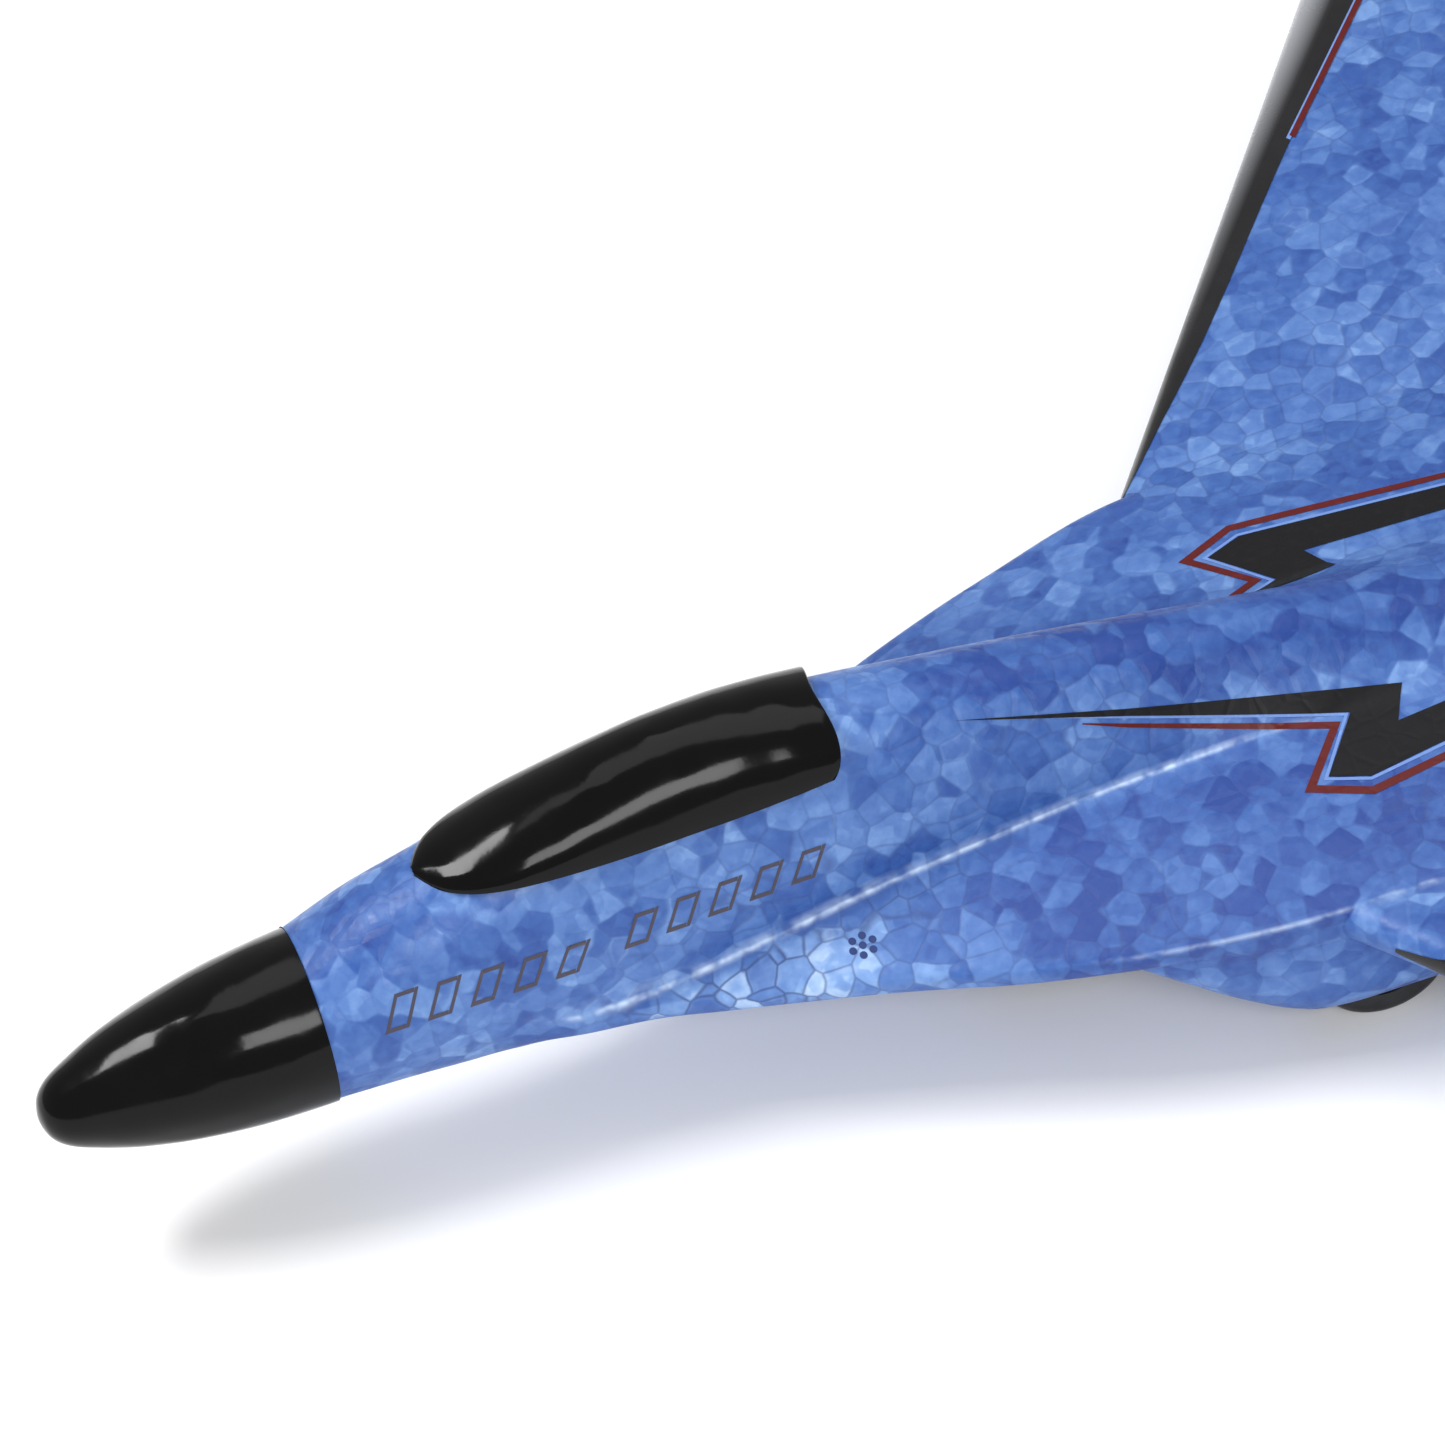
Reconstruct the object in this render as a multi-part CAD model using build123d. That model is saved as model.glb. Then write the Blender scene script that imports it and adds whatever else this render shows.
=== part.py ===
from build123d import *
import os
from math import cos, pi, radians, sin

# Twin-propeller model jet of moulded bead foam, millimetres.
# Design datum: X runs aft from the tip of the nose, Y to starboard, Z up from the wing plane.
# Everything is moved once, at export, so that the origin is under the middle of the plane's
# bounding box, on the surface that it stands on.

LENGTH = 345.0
HALF_SPAN = 150.0
GROUND = -26.1

# nose cone
NOSE_LENGTH = 36.8
NOSE_RADIUS = 11.55
NOSE_DROOP = 3.6
NOSE_WALL = 1.0
NOSE_PROFILE = [(0.6, 2.5), (2.2, 4.25), (6.0, 6.1), (11.5, 8.05), (19.0, 9.8), (28.0, 11.05)]
SPIGOT_START = 24.0
SPIGOT_TIP_RADIUS = 8.2
SPIGOT_BASE_RADIUS = 9.9

# canopy shell: station x, half width, height of its lower edge, height of its crown
CANOPY = [
    (53.4, 0.9, 18.1, 18.9),
    (54.6, 3.2, 18.1, 19.4),
    (57.0, 5.7, 18.0, 20.3),
    (61.0, 7.6, 17.9, 21.7),
    (66.0, 8.6, 17.8, 23.4),
    (72.0, 9.1, 17.75, 25.0),
    (80.0, 9.4, 17.8, 26.8),
    (88.0, 9.5, 18.05, 28.0),
    (95.0, 9.6, 18.3, 28.2),
    (102.0, 9.55, 18.65, 27.5),
    (107.6, 9.4, 19.0, 26.3),
]
CANOPY_WALL = 0.9
CANOPY_GAP = 0.3
CANOPY_REAR_SLANT = 0.5
DOME_STEPS = 10

# moulded body, half sections: station x, then crown, dome, shoulder, two flank points, crease,
# root extension top, edge top, edge bottom, underside, belly and keel, each as (y, z)
BODY = [
    (36.8, [(0, 11.6), (4.9, 10.5), (8.7, 7.6), (10.7, 4.3), (11.4, 1.8), (11.5, 0.6),
            (11.52, 0.0), (11.5, -0.8), (11.3, -2.2), (9.2, -6.8), (5.3, -10.2), (0, -11.4)]),
    (45.0, [(0, 15.6), (4.9, 14.4), (8.7, 11.1), (10.8, 7.1), (11.6, 3.7), (11.7, 2.2),
            (11.72, 1.4), (11.68, 0.4), (11.5, -1.2), (9.4, -6.7), (5.4, -10.9), (0, -12.3)]),
    (54.0, [(0, 18.5), (4.6, 17.5), (8.3, 14.0), (10.8, 9.2), (11.65, 5.0), (11.75, 2.6),
            (11.75, 1.2), (11.6, -0.8), (11.2, -2.6), (9.3, -7.4), (5.5, -11.6), (0, -13.2)]),
    (62.0, [(0, 20.3), (4.4, 19.5), (7.0, 17.9), (10.9, 10.6), (12.0, 4.0), (11.7, -1.8),
            (11.4, -3.6), (11.1, -4.9), (10.2, -7.4), (8.4, -9.3), (5.1, -12.0), (0, -13.4)]),
    (69.0, [(0, 22.6), (4.9, 21.2), (7.9, 17.8), (11.1, 10.6), (12.1, 3.4), (11.8, -4.0),
            (12.0, -4.9), (12.2, -5.4), (11.7, -7.7), (8.8, -9.6), (5.2, -12.3), (0, -13.5)]),
    (78.0, [(0, 24.9), (5.2, 23.0), (8.4, 17.8), (11.2, 10.6), (12.3, 3.4), (12.2, -3.6),
            (13.2, -4.3), (14.1, -4.8), (13.7, -7.3), (9.4, -9.9), (5.4, -12.6), (0, -13.6)]),
    (86.5, [(0, 26.3), (5.4, 24.3), (8.6, 18.0), (11.3, 10.6), (12.5, 3.4), (12.5, -2.2),
            (14.8, -3.3), (17.1, -4.2), (16.8, -7.0), (10.0, -10.0), (5.6, -12.8), (0, -13.8)]),
    (95.0, [(0, 26.8), (5.4, 24.7), (8.7, 18.3), (11.3, 10.6), (12.5, 4.0), (12.6, -0.9),
            (16.4, -2.3), (20.2, -3.7), (19.9, -6.6), (10.8, -10.2), (5.8, -13.0), (0, -14.0)]),
    (108.0, [(0, 25.2), (5.2, 23.5), (8.6, 19.0), (11.0, 12.0), (12.2, 6.0), (12.4, 1.2),
             (18.6, -0.8), (25.2, -3.0), (24.9, -6.0), (11.5, -10.6), (7.0, -14.4), (0, -15.2)]),
    (123.0, [(0, 22.9), (4.7, 21.5), (7.8, 17.4), (10.4, 11.6), (11.7, 7.0), (12.2, 2.8),
             (21.4, 0.7), (31.8, -2.2), (31.5, -5.3), (17.0, -8.0), (15.5, -16.8), (0, -17.0)]),
    (140.0, [(0, 20.0), (4.4, 18.7), (7.1, 15.2), (9.5, 10.6), (11.0, 7.2), (11.8, 4.0),
             (24.0, 1.9), (37.4, -1.3), (37.1, -4.6), (18.0, -8.5), (16.5, -16.8), (0, -17.0)]),
    (161.0, [(0, 16.0), (3.9, 14.9), (6.6, 12.0), (9.0, 8.8), (10.8, 6.6), (12.2, 4.9),
             (27.0, 3.3), (41.8, 0.3), (41.8, -5.4), (19.0, -9.0), (16.5, -16.8), (0, -17.0)]),
    (180.0, [(0, 11.8), (3.8, 11.0), (6.6, 9.2), (9.2, 7.2), (11.2, 5.9), (13.0, 5.0),
             (28.0, 3.4), (42.5, 0.8), (42.5, -5.9), (19.0, -9.0), (16.5, -16.8), (0, -17.0)]),
    (202.0, [(0, 8.0), (4.0, 7.7), (7.2, 6.9), (10.0, 6.1), (12.0, 5.6), (14.0, 5.1),
             (28.0, 3.4), (42.5, 0.9), (42.5, -5.9), (19.0, -9.0), (16.5, -16.8), (0, -17.0)]),
    (235.0, [(0, 6.9), (4.0, 6.7), (7.5, 6.2), (10.0, 5.7), (12.0, 5.3), (14.0, 4.9),
             (28.0, 3.3), (42.2, 0.6), (42.2, -5.2), (19.0, -8.4), (14.0, -14.0), (0, -15.0)]),
    (268.0, [(0, 6.2), (4.0, 6.1), (7.5, 5.8), (10.0, 5.4), (12.0, 5.1), (14.0, 4.7),
             (27.0, 3.2), (41.6, -0.2), (41.6, -4.0), (19.0, -7.0), (11.0, -10.0), (0, -11.0)]),
    (276.0, [(0, 6.0), (4.0, 5.9), (7.5, 5.6), (10.0, 5.3), (12.0, 5.0), (14.0, 4.6),
             (25.0, 3.1), (36.4, 0.4), (36.4, -4.2), (19.0, -6.6), (10.5, -9.0), (0, -10.0)]),
    (322.0, [(0, 4.6), (4.0, 4.5), (7.5, 4.2), (10.0, 3.9), (12.0, 3.6), (14.0, 3.2),
             (25.0, 2.2), (35.4, 0.2), (35.4, -3.6), (19.0, -5.4), (9.5, -6.6), (0, -7.2)]),
]

# tail stinger, elliptical sections: x, half width, centre height, half height
STINGER = [(300.0, 9.0, -1.5, 5.0), (322.0, 7.6, -1.6, 4.6),
           (336.0, 5.6, -1.9, 3.6), (345.0, 3.4, -2.2, 2.2)]
ELLIPSE_STEPS = 16

# engine nacelles, rounded sections: x, centre y, half width, top, bottom, corner radius
NACELLE = [
    (135.0, 29.0, 5.0, -1.5, -5.6, 1.6),
    (142.0, 28.4, 8.8, -1.5, -11.2, 5.0),
    (146.0, 28.8, 9.8, -1.5, -14.3, 6.2),
    (150.0, 29.2, 10.4, -1.5, -17.3, 7.4),
    (154.0, 29.4, 10.9, -1.5, -19.9, 8.2),
    (158.0, 29.5, 11.3, -1.5, -21.6, 8.8),
    (164.0, 29.5, 11.5, -1.5, -22.3, 9.0),
    (180.0, 29.5, 11.5, -1.5, -22.6, 9.0),
    (225.0, 29.5, 11.4, -1.5, -24.6, 8.6),
    (260.0, 28.6, 11.2, -1.5, -26.5, 7.6),
    (290.0, 25.2, 10.6, -1.5, -26.5, 7.0),
    (308.0, 24.8, 9.6, -1.6, -22.0, 8.0),
    (322.0, 24.6, 8.6, -1.8, -18.6, 8.0),
]
CORNER_STEPS = 5

# wing
WING_ROOT_Y = 41.8
WING_ROOT_LE = 161.0
LE_SLOPE = 0.695
WING_ROOT_TE = 268.0
TE_SLOPE = 0.167
WING_TOP_ROOT, WING_TOP_TIP = 0.3, 0.9
WING_BOTTOM_ROOT, WING_BOTTOM_TIP = -5.9, -3.2
WING_CROWN = 1.3
TE_THICKNESS = 2.0
# wing stations: y, how far the leading and trailing edges are drawn in, share of the thickness
WING_STATIONS = [(35.0, 0.0, 0.0, 1.0), (41.8, 0.0, 0.0, 1.0), (134.0, 0.0, 0.0, 1.0),
                 (144.0, 2.2, 1.2, 0.92), (148.6, 6.0, 4.0, 0.7), (150.0, 11.0, 8.0, 0.4)]

# leading-edge tape: stations y, width of the strip on the upper side
TAPE_THICKNESS = 0.15
TAPE_STATIONS = [(43.0, 1.6), (60.0, 4.6), (90.0, 7.6), (120.0, 11.6), (143.0, 14.0)]
TAPE_UNDER = 2.4

# fins and tailplanes
FIN_Y = 31.0
FIN_THICKNESS = 3.0
FIN_OUTLINE = [(262.0, 0.0), (268.0, 4.0), (292.0, 44.0), (296.0, 47.0), (316.0, 47.0), (318.0, 44.0),
               (314.0, 4.0), (312.0, 0.0)]
TAIL_ROOT_Y, TAIL_TIP_Y = 32.0, 96.0
TAIL_ROOT_LE, TAIL_ROOT_TE = 291.0, 320.0
TAIL_TIP_LE, TAIL_TIP_TE = 320.0, 337.0
TAIL_ROOT_THICKNESS, TAIL_TIP_THICKNESS = 3.2, 2.4
TAIL_MID_Z = -1.9

# carbon wing spar
SPAR_X, SPAR_Z = 216.0, -3.0
SPAR_RADIUS = 0.75
SPAR_HALF_LENGTH = 95.0

# wheels
WHEEL_X, WHEEL_Y, WHEEL_Z = 167.5, 33.5, -17.0
WHEEL_RADIUS = 9.1
WHEEL_WIDTH = 5.0
HUB_RADIUS = 5.6
AXLE_RADIUS = 0.6
AXLE_CLEARANCE = 0.05
BOX_LENGTH, BOX_WIDTH = 22.0, 8.4
BOX_TOP, BOX_BOTTOM = -6.4, -22.6
BOX_WALL = 0.8

# motors and propellers
MOTOR_Y, MOTOR_Z = 62.0, 0.0
MOTOR_START, MOTOR_END = 253.0, 273.0
MOTOR_RADIUS = 4.25
MOTOR_WALL = 0.35
END_CAP_LENGTH = 3.0
SHAFT_RADIUS = 0.5
SHAFT_END = 285.5
SHAFT_CLEARANCE = 0.05
ROTOR_RADIUS, ROTOR_WALL = 3.4, 0.5
MAGNET_RADIUS = 2.5
MOUNT_START, MOUNT_END = 249.5, 274.5
MOUNT_WALL = 1.1
MOUNT_PLATE_WIDTH, MOUNT_PLATE_THICKNESS = 17.0, 1.2
NOTCH_HALF_WIDTH = 5.4
PLATE_TOP, PLATE_BOTTOM = 0.5, -4.4
PLATE_END = 268.5
PROP_X = 281.5
PROP_HUB_RADIUS, PROP_HUB_LENGTH = 2.6, 6.0
# blade stations: radius, chord, thickness, pitch angle in degrees
BLADE = [(2.0, 3.2, 1.6, 52.0), (6.0, 5.2, 1.3, 40.0), (12.0, 6.0, 1.0, 27.0),
         (18.0, 5.0, 0.8, 20.0), (22.4, 2.6, 0.6, 17.0)]

# electronics
TRAY_FRONT, TRAY_REAR = 124.0, 198.0
TRAY_HALF_WIDTH = 12.6
TRAY_TOP, TRAY_BOTTOM = -7.0, -17.0
TRAY_WALL = 1.2
COVER_MARGIN = 3.0
COVER_THICKNESS = 1.4
DOOR_FRONT, DOOR_REAR = 157.0, 191.0
DOOR_HALF_WIDTH = 10.0
DOOR_GAP = 0.25
HINGE_RADIUS = 0.9
HINGE_PIN_RADIUS = 0.4
HINGE_CLEARANCE = 0.05
SCREW_RADIUS, SCREW_HEAD_RADIUS = 0.8, 1.6
SCREW_LENGTH = 6.0
POST_RADIUS = 2.5
SCREW_PLACES = [(x, y) for x in (127.4, 194.6) for y in (-9.2, 9.2)]
BOARD_FRONT, BOARD_REAR, BOARD_HALF_WIDTH = 130.0, 155.0, 8.6
BOARD_Z, BOARD_THICKNESS = -10.4, 1.0
BATTERY_FRONT, BATTERY_REAR, BATTERY_HALF_WIDTH = 159.5, 188.5, 8.5
BATTERY_TOP, BATTERY_BOTTOM = -8.6, -14.6
SWITCH_X, SWITCH_Y = 138.0, -4.5
SWITCH_TRAVEL = 2.5
SOCKET_X, SOCKET_Y = 148.0, 4.0
LED_X, LED_RADIUS = 131.5, 1.5
LEAD_RADIUS = 0.8
LEAD_CHANNEL_RADIUS = 1.1
LEAD_ROUTE = [(198.0, 7.0, -11.0), (207.0, 9.0, -11.0), (216.0, 17.0, -10.0), (224.0, 26.0, -7.9),
              (231.5, 36.0, -5.0), (237.0, 46.5, -2.4), (241.8, 55.6, -1.9), (246.8, 60.9, -1.3),
              (252.7, 61.9, -0.25)]
ANTENNA_RADIUS = 0.35
ANTENNA_ROUTE = [(124.0, 5.0, -9.4), (116.0, 4.6, -9.2), (106.0, 2.6, -8.4),
                 (96.0, -0.6, -8.2), (87.0, -2.6, -7.6)]

SIDES = {"left": -1.0, "right": 1.0}


def block(x0, x1, y0, y1, z0, z1):
    """A box from its lowest to its highest corner."""
    return Pos((x0 + x1) / 2, (y0 + y1) / 2, (z0 + z1) / 2) * Box(x1 - x0, y1 - y0, z1 - z0)


def rod_x(x0, x1, y, z, radius):
    """A cylinder along X."""
    return Pos((x0 + x1) / 2, y, z) * Rot(0, 90, 0) * Cylinder(radius, x1 - x0)


def rod_y(y0, y1, x, z, radius):
    """A cylinder along Y."""
    return Pos(x, (y0 + y1) / 2, z) * Rot(90, 0, 0) * Cylinder(radius, abs(y1 - y0))


def rod_z(z0, z1, x, y, radius):
    """A cylinder along Z."""
    return Pos(x, y, (z0 + z1) / 2) * Cylinder(radius, z1 - z0)


def closed_wire(points):
    """A closed polygon through points in space."""
    return Wire.make_polygon([Vector(*p) for p in points], close=True)


def lofted(loops):
    """A solid with straight rulings between closed polygons of equal length."""
    return Solid.make_loft([closed_wire(loop) for loop in loops], ruled=True)


def mirrored_loop(x, half):
    """The whole section at station x from its starboard half, crown to keel."""
    right = [(x, y, z) for y, z in half]
    left = [(x, -y, z) for y, z in reversed(half[1:-1])]
    return right + left


def tube_along(route, radius):
    """A round cord: straight runs joined by arcs as large as the runs allow."""
    points = [Vector(*p) for p in route]
    radii = []
    for before, here, after in zip(points, points[1:], points[2:]):
        turn = (here - before).get_angle(after - here)
        shorter = min((here - before).length, (after - here).length)
        radii.append(0.45 * shorter / abs(sin(radians(turn) / 2) / cos(radians(turn) / 2)))
    path = FilletPolyline(*points, radius=radii)
    print("route radii", [round(r, 1) for r in radii], "length", round(path.length, 1))
    section = Plane(origin=points[0], z_dir=(points[1] - points[0]).normalized()) * Circle(radius)
    return sweep(section, path=path)


def mirror_route(route, side):
    return [(x, y * side, z) for x, y, z in route]


def nose_profile(inset, back):
    """Half profile of the nose from the tip to behind its base, drawn in by inset."""
    points = [(inset * 1.3, 0)]
    points += [(x + inset * 1.1, r - inset) for x, r in NOSE_PROFILE]
    points += [(NOSE_LENGTH + back, NOSE_RADIUS - inset)]
    curve = Spline(*points, tangents=[(0, 1), (1, 0)], tangent_scalars=[1.0, 1.0])
    end_x = NOSE_LENGTH + back
    edge = Polyline((end_x, NOSE_RADIUS - inset), (end_x, 0), (inset * 1.3, 0))
    return make_face(curve + edge)


def nose_solid(inset):
    """The drooping ogive of the nose, cut square at its base."""
    turned = revolve(nose_profile(inset, 3.0), axis=Axis.X)
    drooped = Pos(NOSE_LENGTH, 0, 0.1) * Rot(0, -NOSE_DROOP, 0) * Pos(-NOSE_LENGTH, 0, 0) * turned
    return drooped & block(-10, NOSE_LENGTH, -20, 20, -20, 20)


def make_nose_cone():
    return nose_solid(0.0) - nose_solid(NOSE_WALL)


def canopy_loop(x, half_width, edge, crown, inset, depth):
    """One arch of the canopy, closed below its lower edge by depth."""
    width = max(half_width - inset, 0.3)
    height = max(crown - edge - inset, 0.3)
    arch = []
    for k in range(DOME_STEPS + 1):
        angle = pi * k / DOME_STEPS
        arch.append((x, -width * cos(angle), edge + height * sin(angle)))
    return [(x, -width, edge - depth)] + arch + [(x, width, edge - depth)]


def canopy_solid(inset, depth):
    """The canopy's filled outline. Its rear face leans so that the crown ends first."""
    loops = [canopy_loop(x, w, e, c, inset, depth) for x, w, e, c in CANOPY]
    last_x, w, e, c = CANOPY[-1]
    rear = []
    for x, y, z in canopy_loop(last_x, w, e, c, inset, depth):
        rise = (z - e) / (c - e)
        rear.append((x - CANOPY_REAR_SLANT * rise - inset, y, z))
    front = 1 if inset else 0
    return lofted(loops[front:-1] + [rear])


def make_canopy():
    """A thin moulded shell, open below."""
    return canopy_solid(0.0, 0.02) - canopy_solid(CANOPY_WALL, 3.0)


def ellipse_loop(x, half_width, mid, half_height):
    angles = [2 * pi * k / ELLIPSE_STEPS for k in range(ELLIPSE_STEPS)]
    return [(x, half_width * sin(a), mid + half_height * cos(a)) for a in angles]


def nacelle_loop(x, centre, half_width, top, bottom, radius, side):
    """A section that is square above and has large rounded lower corners."""
    points = [(x, centre - half_width, top), (x, centre + half_width, top)]
    for k in range(CORNER_STEPS + 1):
        angle = pi / 2 * k / CORNER_STEPS
        y = centre + half_width - radius + radius * cos(angle)
        points.append((x, y, bottom + radius - radius * sin(angle)))
    for k in range(CORNER_STEPS + 1):
        angle = pi / 2 * k / CORNER_STEPS
        y = centre - half_width + radius - radius * sin(angle)
        points.append((x, y, bottom + radius - radius * cos(angle)))
    return [(px, py * side, pz) for px, py, pz in points]


def wing_edges(y):
    """Leading and trailing edge x at span station y."""
    return WING_ROOT_LE + LE_SLOPE * (y - WING_ROOT_Y), WING_ROOT_TE + TE_SLOPE * (y - WING_ROOT_Y)


def wing_heights(y):
    """Top and bottom of the wing behind its leading edge at span station y."""
    share = (y - WING_ROOT_Y) / (HALF_SPAN - WING_ROOT_Y)
    top = WING_TOP_ROOT + (WING_TOP_TIP - WING_TOP_ROOT) * share
    bottom = WING_BOTTOM_ROOT + (WING_BOTTOM_TIP - WING_BOTTOM_ROOT) * share
    return top, bottom


def wing_loop(y, le_in, te_in, share, side, skin=0.0):
    """A flat-bottomed aerofoil with a blunt rounded nose."""
    le, te = wing_edges(y)
    le += le_in - skin
    te -= te_in - skin
    top, bottom = wing_heights(y)
    mid = (top + bottom) / 2
    half = (top - bottom) / 2 * share + skin
    tail = TE_THICKNESS / 2 * share + skin
    chord = te - le
    tail_mid = mid + 0.3
    points = [
        (le, mid),
        (le + 0.12 * half, mid + 0.5 * half),
        (le + 0.5 * half, mid + 0.86 * half),
        (le + 1.2 * half, mid + half),
        (le + 0.3 * chord, mid + half + WING_CROWN * share),
        (le + 0.65 * chord, mid + 0.72 * half + WING_CROWN * share),
        (te, tail_mid + tail),
        (te, tail_mid - tail),
        (le + 0.6 * chord, mid - half + 0.9 * share),
        (le + 1.2 * half, mid - half),
        (le + 0.5 * half, mid - 0.86 * half),
        (le + 0.12 * half, mid - 0.5 * half),
    ]
    return [(x, y * side, z) for x, z in points]


def wing_solid(side, skin=0.0):
    return lofted([wing_loop(y, a, b, share, side, skin) for y, a, b, share in WING_STATIONS])


def tape_region(side):
    """Upright prism over the strip of wing that the leading-edge tape covers."""
    front = [(wing_edges(y)[0] - 3.0, y * side) for y, _ in TAPE_STATIONS]
    back = [(wing_edges(y)[0] + width, y * side) for y, width in reversed(TAPE_STATIONS)]
    outline = make_face(Polyline(*front, *back, close=True))
    return Pos(0, 0, -10) * extrude(outline, amount=20, dir=(0, 0, 1))


def make_tape(side):
    """Thin tape folded round the leading edge, wider above than below."""
    skin = wing_solid(side, TAPE_THICKNESS) - wing_solid(side)
    strip = skin & tape_region(side)
    first, last = TAPE_STATIONS[0][0], TAPE_STATIONS[-1][0]
    below = []
    for y in (first - 5.0, last + 5.0):
        le = wing_edges(y)[0]
        below.append([(le + TAPE_UNDER, y * side, -12), (le + 60, y * side, -12),
                      (le + 60, y * side, -2.0), (le + TAPE_UNDER, y * side, -2.0)])
    strip -= lofted(below)
    return max(strip.solids(), key=lambda s: s.volume)


def make_fin(side):
    outline = make_face(Plane.XZ * Polyline(*FIN_OUTLINE, close=True))
    slab = extrude(outline, amount=FIN_THICKNESS / 2, both=True)
    return Pos(0, FIN_Y * side, 0) * slab


def tail_loop(y, le, te, thickness, side):
    half = thickness / 2
    points = [
        (le, TAIL_MID_Z), (le + 0.5 * half, TAIL_MID_Z + 0.8 * half), (le + 2 * half, TAIL_MID_Z + half),
        (te - 1.0, TAIL_MID_Z + half), (te, TAIL_MID_Z), (te - 1.0, TAIL_MID_Z - half),
        (le + 2 * half, TAIL_MID_Z - half), (le + 0.5 * half, TAIL_MID_Z - 0.8 * half),
    ]
    return [(x, y * side, z) for x, z in points]


def make_tailplane(side):
    tip_start = TAIL_TIP_Y - 5.0
    share = (tip_start - TAIL_ROOT_Y) / (TAIL_TIP_Y - TAIL_ROOT_Y)
    le = TAIL_ROOT_LE + (TAIL_TIP_LE - TAIL_ROOT_LE) * share
    te = TAIL_ROOT_TE + (TAIL_TIP_TE - TAIL_ROOT_TE) * share
    return lofted([
        tail_loop(TAIL_ROOT_Y, TAIL_ROOT_LE, TAIL_ROOT_TE, TAIL_ROOT_THICKNESS, side),
        tail_loop(tip_start, le, te, TAIL_TIP_THICKNESS, side),
        tail_loop(TAIL_TIP_Y, TAIL_TIP_LE + 3.0, TAIL_TIP_TE - 2.0, TAIL_TIP_THICKNESS * 0.6, side),
    ])


def make_spar():
    return rod_y(-SPAR_HALF_LENGTH, SPAR_HALF_LENGTH, SPAR_X, SPAR_Z, SPAR_RADIUS)


def wheel_box_block(side, bottom):
    """Outline of the wheel box, down to a given height."""
    half_length = BOX_LENGTH / 2
    half_width = BOX_WIDTH / 2
    y = WHEEL_Y * side
    return block(WHEEL_X - half_length, WHEEL_X + half_length,
                 y - half_width, y + half_width, bottom, BOX_TOP)


def make_wheel_box(side):
    """Five-sided well in the nacelle, open below, with holes for the axle."""
    y = WHEEL_Y * side
    half_length = BOX_LENGTH / 2 - BOX_WALL
    half_width = BOX_WIDTH / 2 - BOX_WALL
    hollow = block(WHEEL_X - half_length, WHEEL_X + half_length, y - half_width, y + half_width,
                   BOX_BOTTOM - 1, BOX_TOP - BOX_WALL)
    bore = rod_y(y - BOX_WIDTH, y + BOX_WIDTH, WHEEL_X, WHEEL_Z, AXLE_RADIUS)
    box = wheel_box_block(side, BOX_BOTTOM) - hollow - bore
    return box & lofted([nacelle_loop(*row, side) for row in NACELLE])


def make_axle(side):
    y = WHEEL_Y * side
    return rod_y(y - BOX_WIDTH / 2, y + BOX_WIDTH / 2, WHEEL_X, WHEEL_Z, AXLE_RADIUS)


def make_hub(side):
    """Plastic wheel hub, dished on both faces, with a boss that runs on the axle."""
    y = WHEEL_Y * side
    half = WHEEL_WIDTH / 2
    hub = rod_y(y - half + 0.3, y + half - 0.3, WHEEL_X, WHEEL_Z, HUB_RADIUS)
    for face in (-1, 1):
        dish = rod_y(y + face * (half + 1), y + face * 0.8, WHEEL_X, WHEEL_Z, HUB_RADIUS - 1.0)
        boss = rod_y(y + face * (half + 2), y + face * 0.5, WHEEL_X, WHEEL_Z, 1.8)
        hub -= dish - boss
    return hub - rod_y(y - half - 1, y + half + 1, WHEEL_X, WHEEL_Z, AXLE_RADIUS + AXLE_CLEARANCE)


def make_tyre(side):
    """Soft tyre with rounded shoulders."""
    y = WHEEL_Y * side
    half = WHEEL_WIDTH / 2
    ring = rod_y(y - half, y + half, WHEEL_X, WHEEL_Z, WHEEL_RADIUS)
    ring = fillet(ring.edges().filter_by(GeomType.CIRCLE), radius=1.3)
    return ring - rod_y(y - half - 1, y + half + 1, WHEEL_X, WHEEL_Z, HUB_RADIUS)


def make_motor_mount(side):
    """Plastic barrel that clips the motor into the trailing edge, with a plate above and below."""
    y = MOTOR_Y * side
    outer = MOTOR_RADIUS + MOUNT_WALL
    barrel = rod_x(MOUNT_START, MOUNT_END, y, MOTOR_Z, outer)
    half = MOUNT_PLATE_WIDTH / 2
    top, bottom = PLATE_TOP, PLATE_BOTTOM
    plates = block(MOUNT_START, PLATE_END, y - half, y + half, top, top + MOUNT_PLATE_THICKNESS)
    plates += block(MOUNT_START, PLATE_END, y - half, y + half, bottom - MOUNT_PLATE_THICKNESS, bottom)
    webs = block(MOUNT_START, PLATE_END, y - NOTCH_HALF_WIDTH, y + NOTCH_HALF_WIDTH, bottom, top)
    mount = barrel + plates + webs
    bore = rod_x(MOTOR_START, MOUNT_END + 1, y, MOTOR_Z, MOTOR_RADIUS)
    wire_hole = rod_x(MOUNT_START - 1, MOTOR_START + 1, y, MOTOR_Z, 2.6)
    return mount - bore - wire_hole


def motor_notch(side):
    """Cut-out of the trailing edge round the motor mount."""
    y = MOTOR_Y * side
    half = MOUNT_PLATE_WIDTH / 2 + 0.1
    notch = block(MOUNT_START - 0.1, 290, y - NOTCH_HALF_WIDTH, y + NOTCH_HALF_WIDTH, -10, 10)
    for z0, z1 in ((PLATE_TOP, 12.0), (-12.0, PLATE_BOTTOM)):
        notch += block(MOUNT_START - 0.1, 290, y - half, y + half, z0, z1)
    return notch


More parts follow.
